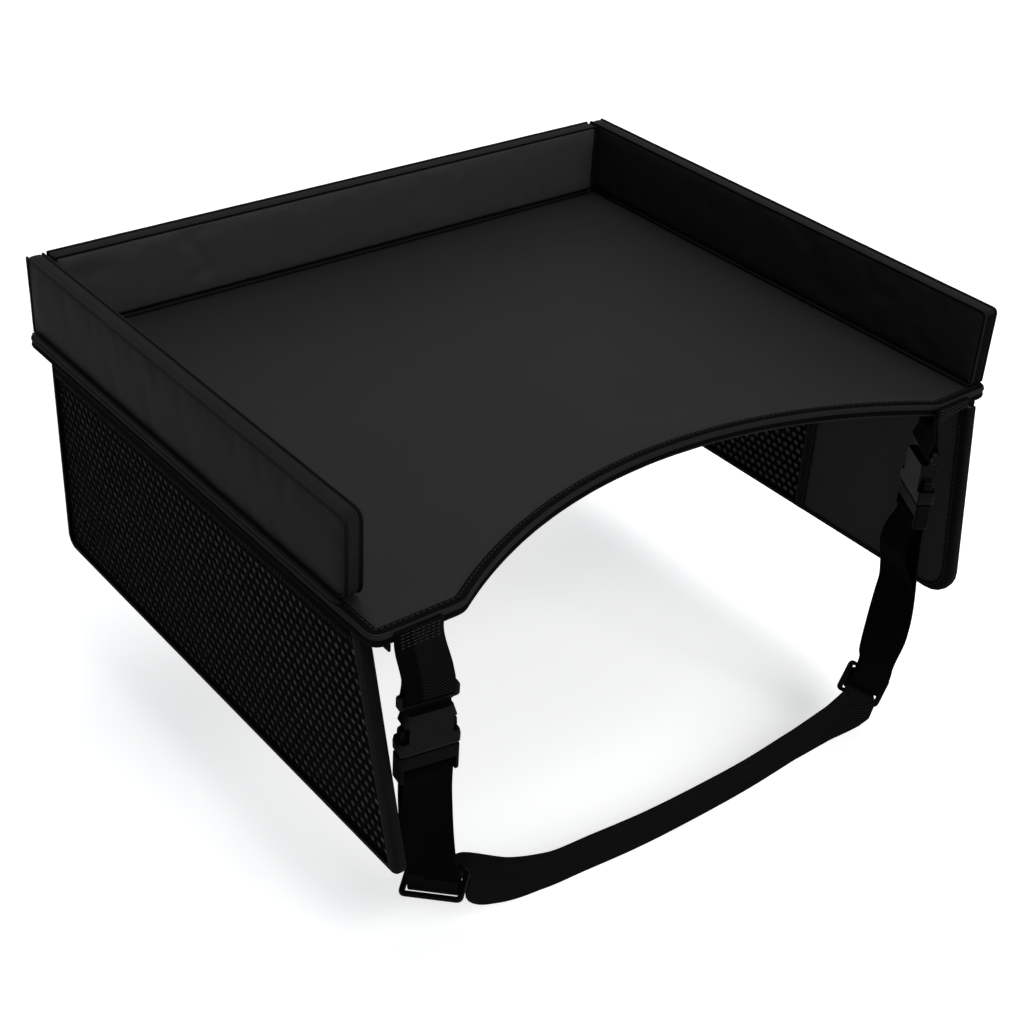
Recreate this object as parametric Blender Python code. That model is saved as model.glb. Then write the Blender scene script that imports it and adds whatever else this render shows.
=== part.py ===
"""Car seat tray table: a padded table board with a cut-out for the child, three folding
walls, two hanging side flaps with pockets, and a waist belt on side-release buckles.
The row frame has its origin at the middle of the table's underside, +Z up, with the
child's side at -Y. All sizes are in metres."""

import math

import bmesh
import bpy
from mathutils import Matrix, Vector
from mathutils.geometry import interpolate_bezier

# Clearance between pieces that touch, how far a cutter runs past what it cuts, and the
# smallest radius that a rounded corner keeps where it is moved in
FIT_GAP = 0.0003
OVERRUN = 0.004
LEAST_RADIUS = 0.0004

# Table
TABLE_WIDTH = 0.402
TABLE_DEPTH = 0.328
TABLE_CORNER_RADIUS = 0.006
CUTOUT_HORN = 0.0406
CUTOUT_DEPTH = 0.048
CUTOUT_SHIFT = 0.004
CUTOUT_SHOULDER_RADIUS = 0.012
BASE_COVER_THICKNESS = 0.0006
BOARD_THICKNESS = 0.0024
FOAM_THICKNESS = 0.0020
TOP_COVER_THICKNESS = 0.0005
EDGE_TAPE_THICKNESS = 0.0006
EDGE_TAPE_WEB = 0.0008
EDGE_TAPE_TOP_LIP = 0.0030
EDGE_TAPE_FOOT_LIP = 0.0105

# Walls
WALL_HEIGHT = 0.0450
WALL_FACE_PADDING = 0.0033
WALL_BOARD_THICKNESS = 0.0024
WALL_STRIP_THICKNESS = 0.0012
WALL_FACE_BEVEL = 0.0012
WALL_SETBACK = {"left": 0.0255, "right": 0.0030}
WALL_FRONT_RADII = {"left": (0.008, 0.0055), "right": (0.003, 0.003)}
WALL_BACK_RADII = (0.0, 0.0)
PIPING_RADIUS = 0.0011
FASTENER_THICKNESS = 0.0006
FASTENER_WIDTH = 0.0080
FASTENER_HEIGHT = 0.0360

# Side flaps
FLAP_INSET = 0.0090
FLAP_DROP = 0.1245
FLAP_BACK_INSET = 0.0125
FLAP_FRONT_TOP_INSET = {"left": 0.0190, "right": 0.0}
FLAP_FRONT_FOOT_REACH = 0.0138
FLAP_FRONT_RADIUS = {"left": 0.0040, "right": 0.0160}
FLAP_BACK_RADIUS = 0.0080
FLAP_PANEL_THICKNESS = 0.0008
FLAP_POCKET_SLACK = 0.0010
FLAP_POCKET_THICKNESS = 0.0008
FLAP_TAPE_THICKNESS = 0.0006
FLAP_TAPE_LIP = 0.0030
FLAP_FRONT_LIP = 0.0075
FLAP_HANGER_THICKNESS = 0.0010
FLAP_HANGER_REACH = 0.0006
FLAP_HINGE_SLACK = 0.0009
POCKET_HEM_HEIGHT = 0.0100
SEAM_TAPE_WIDTH = 0.0070
SEAM_SETBACK = 0.106
NET_STRAND = 0.0030
NET_COLUMNS = 18
NET_ROWS = 6
INNER_NET_COLUMNS = 6
INNER_NET_ROWS = 3

# Webbing and the tabs
WEB_WIDTH = 0.0250
WEB_THICKNESS = 0.0011
LAYER_PITCH = 0.0015
TAB_INSET = {"left": 0.0225, "right": 0.0310}
TAB_DROP = {"left": 0.0416, "right": 0.0276}
TAB_HANG = {"left": (0.0052, -0.0010), "right": (-0.009, 0.0055)}
TAB_TWIST_SHARE = 0.45
TAB_SPREAD_SHARE = 0.25
TAB_STEPS = 12

# Side-release buckles
BUCKLE_YAW = {"left": math.radians(-10), "right": math.radians(60)}
SOCKET_HALF_WIDTH = 0.0150
SOCKET_DEPTH = 0.0095
SOCKET_EYE_DEPTH = 0.0028
SOCKET_NECK_HEIGHT = 0.0245
SOCKET_PROFILE_SHARES = [(1.0, 0.0), (1.01, 0.21), (0.91, 0.46), (0.86, 0.68), (0.75, 0.90), (0.71, 1.0)]
SOCKET_EYE_FOOT = 0.0262
SOCKET_SLOT_HEIGHT = 0.0028
SOCKET_BAR_HEIGHT = 0.0030
SOCKET_WALL = 0.0030
SOCKET_FACE_WALL = 0.0020
SOCKET_CAVITY_HEIGHT = 0.0163
WINDOW_FOOT = 0.0075
WINDOW_HEIGHT = 0.0090
WINDOW_REACH = 0.0042
BUCKLE_BEVEL = 0.0012
PLUG_SHOULDER_HEIGHT = 0.0075
PLUG_SLOT_HEIGHT = 0.0050
PLUG_BAR_HEIGHT = 0.0030
PLUG_BAR_DEPTH = 0.0026
PLUG_DEPTH = 0.0086
PLUG_POST = 0.0020
TONGUE_HALF_WIDTH = 0.0028
TONGUE_HEIGHT = 0.0145
MOUTH_GAP = 0.0005
ARM_DEPTH = 0.0048
ARM_PIVOT_X = 0.0089
ARM_ROOT_HALF_WIDTH = 0.0008
ARM_INNER_X = 0.0072
ARM_OUTER_X = 0.0106
ARM_PAD_X = 0.0140
ARM_TIP_X = 0.0100
ARM_TIP_HEIGHT = 0.0158
ARM_NECK_SHARE = 1 / 3
ARM_PAD_LEAD_SHARE = 0.2
ARM_PAD_END_SHARE = 0.6
NECK_CLEARANCE_SHARE = 1.5

# Sliders
SLIDER_LENGTH = 0.0320
SLIDER_WIDTH = 0.0190
SLIDER_THICKNESS = 0.0024
SLIDER_FRAME_BAR = 0.0024
SLIDER_CENTRE_BAR = 0.0032
SLIDER_CORNER_RADIUS = 0.0030
SLIDER_END_BAR = 0.0027
SLIDER_BEVEL = 0.0006

# The belt's route, chosen by hand: each slider's centre below its plug's bar, the way each
# end hangs, and the run between the sliders
SLIDER_OFFSET = {"left": (0.0098, 0.0031, -0.0787), "right": (-0.0135, -0.0009, -0.1133)}
SLIDER_ACROSS = {"left": (0.66, -0.72, -0.20), "right": (-0.62, 0.42, 0.66)}
SLIDER_HEADING = {"left": (0.22, 0.04, -0.97), "right": (-0.62, -0.12, -0.77)}
HANG_HANDLES = {"left": (0.024, 0.018), "right": (0.036, 0.018)}
HANG_STRAIGHT = {"left": 0.0080, "right": 0.0145}
HANG_STEPS = 60
RETURN_BULGE = {"left": 0.0010, "right": 0.0070}
BAR_SPREAD = 0.0018
HANG_LEAD_SHARES = [(0.15, 0.9, 0.1), (0.40, 0.5, 0.65), (0.75, 0.2, 1.0), (1.25, 0.0, 0.5), (1.70, 0.0, 0.0)]
HANG_KNOTS = 7
OVER_BAR_SHARES = [-0.25, 0.0, 0.25]
SLOT_REACH_SHARE = 0.65
SLOT_TAIL_SHARE = 0.67
FRAME_LEAD_SHARE = 1.5
BELT_ROUTE = [
    (-0.1470, -0.1530, -0.1580),
    (-0.1385, -0.1550, -0.1715),
    (-0.1170, -0.1575, -0.1855),
    (-0.0880, -0.1585, -0.1945),
    (-0.0595, -0.1590, -0.1974),
    (-0.0223, -0.1595, -0.2008),
    (0.0142, -0.1600, -0.2015),
    (0.0552, -0.1610, -0.1997),
    (0.0905, -0.1635, -0.1928),
    (0.1158, -0.1648, -0.1885),
]
BELT_ACROSS = [
    (0.45, -0.80, -0.40),
    (0.25, -0.60, -0.75),
    (0.05, -0.22, -0.97),
    (0.00, 0.00, -1.00),
    (0.00, 0.00, -1.00),
    (0.00, 0.00, -1.00),
    (0.00, 0.00, -1.00),
    (0.00, 0.00, -1.00),
    (0.10, -0.02, -0.99),
    (0.32, -0.14, -0.93),
]

# How finely round things are cut, and which edges are rounded or shaded sharp
ARC_STEPS = 4
CUTOUT_STEPS = 20
ROUND_STEPS = 12
OUTLINE_DECIMALS = 7
BEVEL_ANGLE = math.radians(50)
SHARP_ANGLE = math.radians(40)

# Heights worked out from the table's layers
BOARD_FOOT = BASE_COVER_THICKNESS + FIT_GAP
FOAM_FOOT = BOARD_FOOT + BOARD_THICKNESS + FIT_GAP
TOP_COVER_FOOT = FOAM_FOOT + FOAM_THICKNESS + FIT_GAP
TABLE_TOP = TOP_COVER_FOOT + TOP_COVER_THICKNESS
EDGE_TAPE_FOOT = 0.0
EDGE_TAPE_TOP = TABLE_TOP + FIT_GAP + EDGE_TAPE_THICKNESS
HALF_WIDTH = TABLE_WIDTH / 2
HALF_DEPTH = TABLE_DEPTH / 2
CUTOUT_REACH = HALF_WIDTH - CUTOUT_HORN
CUTOUT_RADIUS = (CUTOUT_REACH**2 + CUTOUT_DEPTH**2) / (2 * CUTOUT_DEPTH) - CUTOUT_SHOULDER_RADIUS
SIDES = {"left": 1, "right": -1}

# Walls: places measured outward from the hinge line and up from it
WALL_THICKNESS = 2 * WALL_FACE_PADDING + WALL_BOARD_THICKNESS + 2 * FIT_GAP
WALL_OUTER = -PIPING_RADIUS - FIT_GAP
WALL_INNER = WALL_OUTER - WALL_THICKNESS
WALL_FOOT = -PIPING_RADIUS
HINGE_HEIGHT = EDGE_TAPE_TOP + FIT_GAP + PIPING_RADIUS
BACK_END = HALF_DEPTH - PIPING_RADIUS + WALL_OUTER
CORNER_STACK = 2 * FASTENER_THICKNESS + 3 * FIT_GAP

# Flaps: half the stack, and the hinge line that lets it lie flat under the table
FLAP_HALF = FLAP_PANEL_THICKNESS / 2 + FLAP_POCKET_SLACK + FLAP_POCKET_THICKNESS
FLAP_HALF = FLAP_HALF + FIT_GAP + FLAP_TAPE_THICKNESS
FLAP_AXIS_HEIGHT = EDGE_TAPE_FOOT - FIT_GAP - FLAP_HALF
FLAP_HEAD = -FLAP_HINGE_SLACK


def material(name, colour, roughness, metallic=0.0):
    """A plain Principled material of that colour."""
    made = bpy.data.materials.new(name)
    made.use_nodes = True
    shader = made.node_tree.nodes["Principled BSDF"]
    shader.inputs["Base Color"].default_value = (*colour, 1.0)
    shader.inputs["Roughness"].default_value = roughness
    shader.inputs["Metallic"].default_value = metallic
    return made


def solid(name, bm, finish, parent=None):
    """Turns a bmesh into a named object on its parent's axes, with its faces outward."""
    bmesh.ops.recalc_face_normals(bm, faces=bm.faces)
    mesh = bpy.data.meshes.new(name)
    bm.to_mesh(mesh)
    bm.free()
    made = bpy.data.objects.new(name, mesh)
    bpy.context.scene.collection.objects.link(made)
    mesh.materials.append(finish)
    made.parent = parent
    return made


def axis_empty(name, place, yaw=0.0, parent=None):
    """An empty on a joint's axis, turned about Z so that its own Y points outward."""
    made = bpy.data.objects.new(name, None)
    made.location = place
    made.rotation_euler = (0.0, 0.0, yaw)
    made.parent = parent
    bpy.context.scene.collection.objects.link(made)
    return made


def prism(outline, low, high, upright=False):
    """An outline pushed from low to high: along Z, or along Y if it stands upright."""
    bm = bmesh.new()
    if upright:
        verts = [bm.verts.new((u, low, v)) for u, v in outline]
        push = (0.0, high - low, 0.0)
    else:
        verts = [bm.verts.new((u, v, low)) for u, v in outline]
        push = (0.0, 0.0, high - low)
    face = bm.faces.new(verts)
    grown = bmesh.ops.extrude_face_region(bm, geom=[face], use_keep_orig=True)
    moved = [g for g in grown["geom"] if isinstance(g, bmesh.types.BMVert)]
    bmesh.ops.translate(bm, verts=moved, vec=push)
    return bm


def block(low, high):
    """A rectangular solid between two corners."""
    outline = [(low[0], low[2]), (high[0], low[2]), (high[0], high[2]), (low[0], high[2])]
    return prism(outline, low[1], high[1], upright=True)


def loft(rings, closed=False):
    """A skin over rings of points, closed on itself or with flat ends."""
    bm = bmesh.new()
    rows = [[bm.verts.new(p) for p in ring] for ring in rings]
    spans = list(zip(rows, rows[1:]))
    if closed:
        spans.append((rows[-1], rows[0]))
    for here, there in spans:
        for k in range(len(here)):
            after = (k + 1) % len(here)
            bm.faces.new((here[k], here[after], there[after], there[k]))
    if not closed:
        bm.faces.new(rows[0])
        bm.faces.new(rows[-1])
    return bm


def arc(centre, radius, start, end, steps):
    """Points on an arc from one angle to another, ends included."""
    turns = [start + (end - start) * i / steps for i in range(steps + 1)]
    return [(centre[0] + radius * math.cos(a), centre[1] + radius * math.sin(a)) for a in turns]


def rounded(corners, insets):
    """A convex outline, given anticlockwise as (x, y, radius), with each edge moved in."""
    count = len(corners)
    lines = []
    for i in range(count):
        a = Vector(corners[i][:2])
        b = Vector(corners[(i + 1) % count][:2])
        along = (b - a).normalized()
        inward = Vector((-along.y, along.x))
        lines.append((a + inward * insets[i], along, inward))
    outline = []
    for i in range(count):
        before = lines[i - 1]
        after = lines[i]
        inset = min(insets[i - 1], insets[i])
        radius = max(corners[i][2] - inset, LEAST_RADIUS) if corners[i][2] else 0.0
        cross = before[1].x * after[1].y - before[1].y * after[1].x
        first = before[0] + before[2] * radius
        second = after[0] + after[2] * radius
        gap = second - first
        reach = (gap.x * after[1].y - gap.y * after[1].x) / cross
        centre = first + before[1] * reach
        if radius == 0.0:
            outline.append((centre.x, centre.y))
            continue
        start = math.atan2(-before[2].y, -before[2].x)
        turn = math.atan2(cross, before[1].dot(after[1]))
        outline.extend(arc(centre, radius, start, start + turn, ARC_STEPS))
    return outline


def combine(target, name, bm, parent=None, operation="DIFFERENCE"):
    """Cuts a hidden tool out of the target, or joins it on."""
    tool = solid(name, bm, target.data.materials[0], parent)
    tool.hide_render = True
    tool.display_type = "WIRE"
    made = target.modifiers.new(name, "BOOLEAN")
    made.operation = operation
    made.solver = "EXACT"
    made.object = tool


def bevel(target, width, segments=2):
    """Rounds the sharp edges of a solid."""
    made = target.modifiers.new("Rounding", "BEVEL")
    made.width = width
    made.segments = segments
    made.limit_method = "ANGLE"
    made.angle_limit = BEVEL_ANGLE
    return made


def shade_round(target):
    """Shades a round piece smooth, with its sharp edges kept."""
    target.data.shade_smooth()
    target.data.set_sharp_from_angle(angle=SHARP_ANGLE)


for old in list(bpy.data.objects):
    bpy.data.objects.remove(old, do_unlink=True)

# Materials
COATED = material("coated_fabric", (0.024, 0.024, 0.025), 0.55)
CLOTH = material("woven_cloth", (0.016, 0.016, 0.017), 0.85)
TAPE = material("ribbed_tape", (0.020, 0.020, 0.021), 0.80)
NETTING = material("pocket_net", (0.010, 0.010, 0.011), 0.75)
WEBBING = material("webbing", (0.018, 0.018, 0.019), 0.80)
MOULDED = material("moulded_plastic", (0.022, 0.022, 0.023), 0.35)
STIFFENER = material("board_plastic", (0.30, 0.30, 0.29), 0.60)
FOAM = material("foam", (0.55, 0.55, 0.52), 0.95)
FASTENER = material("hook_and_loop", (0.014, 0.014, 0.015), 0.95)


# Table: covers, foam and board share one outline inside the edge tape
def table_outline(inset):
    """The table's edge moved in: rounded corners, and the arc cut out for the child."""
    small = max(TABLE_CORNER_RADIUS - inset, LEAST_RADIUS)
    cx = HALF_WIDTH - inset - small
    cy = HALF_DEPTH - inset - small
    arc_centre = Vector((CUTOUT_SHIFT, -HALF_DEPTH + CUTOUT_DEPTH - CUTOUT_RADIUS))
    shoulder_y = -HALF_DEPTH + CUTOUT_SHOULDER_RADIUS
    lean = math.atan2(shoulder_y - arc_centre.y, CUTOUT_REACH)
    left = (arc_centre.x - CUTOUT_REACH, shoulder_y)
    far = (arc_centre.x + CUTOUT_REACH, shoulder_y)
    shoulder = CUTOUT_SHOULDER_RADIUS - inset
    quarter = math.pi / 2
    outline = arc((cx, cy), small, 0.0, quarter, ARC_STEPS)
    outline += arc((-cx, cy), small, quarter, math.pi, ARC_STEPS)
    outline += arc((-cx, -cy), small, math.pi, 3 * quarter, ARC_STEPS)
    outline += arc(left, shoulder, -quarter, -lean, ARC_STEPS)
    outline += arc(arc_centre, CUTOUT_RADIUS + inset, math.pi - lean, lean, CUTOUT_STEPS)[1:-1]
    outline += arc(far, shoulder, lean - math.pi, -quarter, ARC_STEPS)
    outline += arc((cx, -cy), small, -quarter, 0.0, ARC_STEPS)
    return outline


base_outline = table_outline(EDGE_TAPE_FOOT_LIP + FIT_GAP)
fill_outline = table_outline(EDGE_TAPE_WEB + FIT_GAP)
solid("table_base_cover", prism(base_outline, 0.0, BASE_COVER_THICKNESS), COATED)
solid("table_board", prism(fill_outline, BOARD_FOOT, BOARD_FOOT + BOARD_THICKNESS), STIFFENER)
solid("table_foam_pad", prism(fill_outline, FOAM_FOOT, FOAM_FOOT + FOAM_THICKNESS), FOAM)
solid("table_top_cover", prism(fill_outline, TOP_COVER_FOOT, TABLE_TOP), COATED)

tape_top_lip = table_outline(EDGE_TAPE_TOP_LIP)
tape_foot_lip = table_outline(EDGE_TAPE_FOOT_LIP)
tape_web = table_outline(EDGE_TAPE_WEB)
tape_rings = []
for i, (x, y) in enumerate(table_outline(0.0)):
    ring = [(x, y, EDGE_TAPE_FOOT), (x, y, EDGE_TAPE_TOP)]
    upper = EDGE_TAPE_TOP - EDGE_TAPE_THICKNESS
    lower = EDGE_TAPE_FOOT + EDGE_TAPE_THICKNESS
    ring += [(*tape_top_lip[i], EDGE_TAPE_TOP), (*tape_top_lip[i], upper)]
    ring += [(*tape_web[i], upper), (*tape_web[i], lower)]
    ring += [(*tape_foot_lip[i], lower), (*tape_foot_lip[i], EDGE_TAPE_FOOT)]
    tape_rings.append(ring)
solid("table_edge_binding", loft(tape_rings, closed=True), TAPE)


# Walls: each stands on an empty on its hinge line, with its own X along the wall
def wall(name, hinge, front_end, back_end, front_radii):
    """The five pieces of a padded wall between two ends, given from its front end on."""
    low, high = sorted((front_end, back_end))
    foot, top = front_radii if front_end < back_end else WALL_BACK_RADII
    far_foot, far_top = WALL_BACK_RADII if front_end < back_end else front_radii
    head = WALL_FOOT + WALL_HEIGHT
    corners = [
        (low, WALL_FOOT, foot),
        (high, WALL_FOOT, far_foot),
        (high, head, far_top),
        (low, head, top),
    ]
    rim = rounded(corners, [0.0] * len(corners))
    throat = rounded(corners, [WALL_STRIP_THICKNESS] * len(corners))
    fill = rounded(corners, [WALL_STRIP_THICKNESS + FIT_GAP] * len(corners))
    rings = []
    for (u, v), (s, t) in zip(rim, throat):
        rings.append([(u, WALL_INNER, v), (u, WALL_OUTER, v), (s, WALL_OUTER, t), (s, WALL_INNER, t)])
    solid(f"{name}_binding", loft(rings, closed=True), TAPE, hinge)
    outer_low = WALL_OUTER - WALL_FACE_PADDING
    board_low = outer_low - FIT_GAP - WALL_BOARD_THICKNESS
    outer = solid(f"{name}_outer_panel", prism(fill, outer_low, WALL_OUTER, True), COATED, hinge)
    solid(f"{name}_board", prism(fill, board_low, outer_low - FIT_GAP, True), STIFFENER, hinge)
    inner_high = WALL_INNER + WALL_FACE_PADDING
    inner = solid(f"{name}_inner_panel", prism(fill, WALL_INNER, inner_high, True), COATED, hinge)
    for face in (outer, inner):
        bevel(face, WALL_FACE_BEVEL)


def piping(name, hinge, low, high):
    """The corded seam along a hinge line."""
    rings = []
    for u in (low, high):
        turn = [2 * math.pi * k / ROUND_STEPS for k in range(ROUND_STEPS)]
        rings.append([(u, PIPING_RADIUS * math.cos(a), PIPING_RADIUS * math.sin(a)) for a in turn])
    shade_round(solid(name, loft(rings), TAPE, hinge))


def fastener(name, hinge, low, high, across):
    """One strip of a hook-and-loop pair, thin along X or Y as its corners say."""
    foot = WALL_FOOT + (WALL_HEIGHT - FASTENER_HEIGHT) / 2
    corner = (low, across[0], foot)
    solid(name, block(corner, (high, across[1], foot + FASTENER_HEIGHT)), FASTENER, hinge)


QUARTER_TURN = math.pi / 2
HINGE_REACH = HALF_WIDTH - PIPING_RADIUS
for side, sign in SIDES.items():
    hinge = axis_empty(f"wall_{side}_axis", (-sign * HINGE_REACH, 0.0, HINGE_HEIGHT), sign * QUARTER_TURN)
    front_end = sign * (WALL_SETBACK[side] - HALF_DEPTH)
    back_end = sign * BACK_END
    wall(f"wall_{side}", hinge, front_end, back_end, WALL_FRONT_RADII[side])
    low, high = sorted((front_end, back_end))
    piping(f"wall_{side}_hinge_piping", hinge, low, high)
    strip_end = back_end - sign * (WALL_THICKNESS - FASTENER_WIDTH) / 2
    low, high = sorted((strip_end, strip_end - sign * FASTENER_WIDTH))
    face = WALL_INNER - FIT_GAP
    fastener(f"corner_loop_{side}", hinge, low, high, (face - FASTENER_THICKNESS, face))

back_hinge = axis_empty("wall_back_axis", (0.0, HALF_DEPTH - PIPING_RADIUS, HINGE_HEIGHT))
back_half = HINGE_REACH + WALL_INNER - CORNER_STACK
wall("wall_back", back_hinge, -back_half, back_half, WALL_BACK_RADII)
piping_half = HINGE_REACH + WALL_OUTER
piping("wall_back_hinge_piping", back_hinge, -piping_half, piping_half)
strip_face = WALL_OUTER - (WALL_THICKNESS - FASTENER_WIDTH) / 2
strip_reach = back_half + FIT_GAP + FASTENER_THICKNESS
for side, sign in SIDES.items():
    low, high = sorted((-sign * strip_reach, -sign * (strip_reach - FASTENER_THICKNESS)))
    fastener(f"corner_hook_{side}", back_hinge, low, high, (strip_face - FASTENER_WIDTH, strip_face))


# Side flaps: each hangs on an empty on its hinge line, with its own X along the table's side
def flap_outline(side, inset, front_inset):
    """The flap's free edges moved in, its head kept, with X as the hinge has it."""
    foot = -FLAP_AXIS_HEIGHT - FLAP_DROP
    back = HALF_DEPTH - FLAP_BACK_INSET
    front_foot = -HALF_DEPTH - FLAP_FRONT_FOOT_REACH
    front_head = -HALF_DEPTH + FLAP_FRONT_TOP_INSET[side]
    corners = [(front_foot, foot, FLAP_FRONT_RADIUS[side]), (back, foot, FLAP_BACK_RADIUS)]
    corners += [(back, FLAP_HEAD, 0.0), (front_head, FLAP_HEAD, 0.0)]
    points = rounded(corners, [inset, inset, 0.0, front_inset])
    return [(round(SIDES[side] * u, OUTLINE_DECIMALS), round(v, OUTLINE_DECIMALS)) for u, v in points]


def edge_at(outline, height, front, sign):
    """Where the outline's front or back edge stands at a height."""
    crossings = []
    for (u, v), (s, t) in zip(outline, outline[1:] + outline[:1]):
        if v != t and min(v, t) <= height <= max(v, t):
            crossings.append(sign * (u + (s - u) * (height - v) / (t - v)))
    return min(crossings) if front else max(crossings)


def net(name, outline, sign, span, columns, rows, low, high, parent):
    """A flat net in an outline: a staggered grid whose cells are inset, opened and thickened."""
    bm = bmesh.new()
    heights = [v for _, v in outline]
    foot, head = min(heights), max(heights)
    grid = []
    for j in range(rows + 1):
        v = foot + (head - foot) * j / rows
        probe = min(max(v, foot), head)
        front = max(edge_at(outline, probe, True, sign), span[0])
        back = min(edge_at(outline, probe, False, sign), span[1])
        pitch = (back - front) / columns
        row = []
        for i in range(columns + 1):
            stagger = pitch / 2 if j % 2 and 0 < i < columns else 0.0
            row.append(bm.verts.new((sign * (front + pitch * i + stagger), low, v)))
        grid.append(row)
    cells = []
    for j in range(rows):
        for i in range(columns):
            cells.append(bm.faces.new((grid[j][i], grid[j][i + 1], grid[j + 1][i + 1], grid[j + 1][i])))
    bm.normal_update()
    bmesh.ops.inset_individual(bm, faces=cells, thickness=NET_STRAND / 2, use_even_offset=True)
    bmesh.ops.delete(bm, geom=cells, context="FACES")
    strands = bmesh.ops.extrude_face_region(bm, geom=bm.faces[:], use_keep_orig=True)
    moved = [g for g in strands["geom"] if isinstance(g, bmesh.types.BMVert)]
    bmesh.ops.translate(bm, verts=moved, vec=(0.0, high - low, 0.0))
    return solid(name, bm, NETTING, parent)


POCKET_NEAR = FLAP_PANEL_THICKNESS / 2 + FLAP_POCKET_SLACK
POCKET_FAR = POCKET_NEAR + FLAP_POCKET_THICKNESS
LIP_NEAR = POCKET_FAR + FIT_GAP
for side, sign in SIDES.items():
    place = (-sign * (HALF_WIDTH - FLAP_INSET), 0.0, FLAP_AXIS_HEIGHT)
    hinge = axis_empty(f"flap_{side}_axis", place, sign * QUARTER_TURN)
    name = f"flap_{side}"
    hanger_front = -HALF_DEPTH + max(FLAP_FRONT_TOP_INSET[side], EDGE_TAPE_THICKNESS)
    low, high = sorted((sign * hanger_front, sign * (HALF_DEPTH - FLAP_BACK_INSET)))
    hanger_half = FLAP_HANGER_THICKNESS / 2
    hanger_top = EDGE_TAPE_FOOT - FLAP_AXIS_HEIGHT - FIT_GAP
    hanger = block((low, -hanger_half, -FLAP_HANGER_REACH), (high, hanger_half, hanger_top))
    solid(f"{name}_hinge_tape", hanger, TAPE, hinge)

    rim = flap_outline(side, 0.0, 0.0)
    web = flap_outline(side, FLAP_TAPE_THICKNESS, FLAP_TAPE_THICKNESS)
    lip = flap_outline(side, FLAP_TAPE_LIP, FLAP_FRONT_LIP)
    fill_inset = FLAP_TAPE_THICKNESS + FIT_GAP
    fill = flap_outline(side, fill_inset, fill_inset)
    count = len(rim)
    order = [(k - 1) % count for k in range(count)]
    rings = []
    for k in order:
        (u, v), (s, t), (p, q) = rim[k], web[k], lip[k]
        ring = [(u, -FLAP_HALF, v), (u, FLAP_HALF, v), (p, FLAP_HALF, q), (p, LIP_NEAR, q)]
        ring += [(s, LIP_NEAR, t), (s, -LIP_NEAR, t), (p, -LIP_NEAR, q), (p, -FLAP_HALF, q)]
        rings.append(ring)
    solid(f"{name}_binding", loft(rings), TAPE, hinge)
    cloth_half = FLAP_PANEL_THICKNESS / 2
    solid(f"{name}_panel", prism(fill, -cloth_half, cloth_half, True), CLOTH, hinge)
    everywhere = (-TABLE_DEPTH, TABLE_DEPTH)
    net(f"{name}_pocket_net", fill, sign, everywhere, NET_COLUMNS, NET_ROWS, POCKET_NEAR, POCKET_FAR, hinge)

    hem_foot = FLAP_HEAD - POCKET_HEM_HEIGHT
    inside = flap_outline(side, FLAP_TAPE_LIP + FIT_GAP, FLAP_FRONT_LIP + FIT_GAP)
    hem = []
    for height in (FLAP_HEAD, hem_foot):
        ends = [edge_at(inside, height, True, sign), edge_at(inside, height, False, sign)]
        hem.extend((sign * u, height) for u in (ends if height == FLAP_HEAD else ends[::-1]))
    solid(f"{name}_pocket_hem", prism(hem, LIP_NEAR, FLAP_HALF, True), TAPE, hinge)

    seam = -HALF_DEPTH + SEAM_SETBACK
    split = (seam - FIT_GAP / 2, seam + FIT_GAP / 2)
    rest = (split[1], TABLE_DEPTH)
    layer = (-POCKET_FAR, -POCKET_NEAR)
    net(f"{name}_inner_mesh", fill, sign, rest, INNER_NET_COLUMNS, INNER_NET_ROWS, *layer, hinge)
    front_part = []
    for u, v in fill:
        front_part.append((sign * min(sign * u, split[0]), v))
    front_part = list(dict.fromkeys(front_part))
    solid(f"{name}_inner_panel", prism(front_part, -POCKET_FAR, -POCKET_NEAR, True), CLOTH, hinge)
    seam_foot = min(v for _, v in inside)
    low, high = sorted((sign * (seam - SEAM_TAPE_WIDTH / 2), sign * (seam + SEAM_TAPE_WIDTH / 2)))
    seam_block = block((low, -FLAP_HALF, seam_foot), (high, -LIP_NEAR, FLAP_HEAD))
    solid(f"{name}_seam_tape", seam_block, TAPE, hinge)


# Webbing: a flat ribbon through points that each say how its width lies
def ribbon(name, rings, turned_from=None):
    """A webbing strip through rings that each give a place, a width and a face direction.
    Both faces are split along the same diagonals, which swap where a doubled strip turns
    back, so that its twisted layers stay parallel."""
    bm = bmesh.new()
    rows = []
    for place, wide, face in rings:
        w = wide * (WEB_WIDTH / 2)
        t = face * (WEB_THICKNESS / 2)
        corners = [place - w - t, place + w - t, place + w + t, place - w + t]
        rows.append([bm.verts.new(corner) for corner in corners])
    for i, (a, b) in enumerate(zip(rows, rows[1:])):
        if turned_from is not None and i >= turned_from:
            a, b = b, a
        for left, right in ((0, 1), (3, 2), (0, 3), (1, 2)):
            bm.faces.new((a[left], a[right], b[right]))
            bm.faces.new((a[left], b[right], b[left]))
    bm.faces.new(rows[0])
    bm.faces.new(rows[-1])
    return solid(name, bm, WEBBING)


def square_rings(knots):
    """Rings through places that each give a width, and a face direction or None for square."""
    rings = []
    for i, (place, across, face) in enumerate(knots):
        along = (knots[min(i + 1, len(knots) - 1)][0] - knots[max(i - 1, 0)][0]).normalized()
        wide = (across - along * along.dot(across)).normalized()
        rings.append((place, across, face) if face else (place, wide, along.cross(wide)))
    return rings


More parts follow.
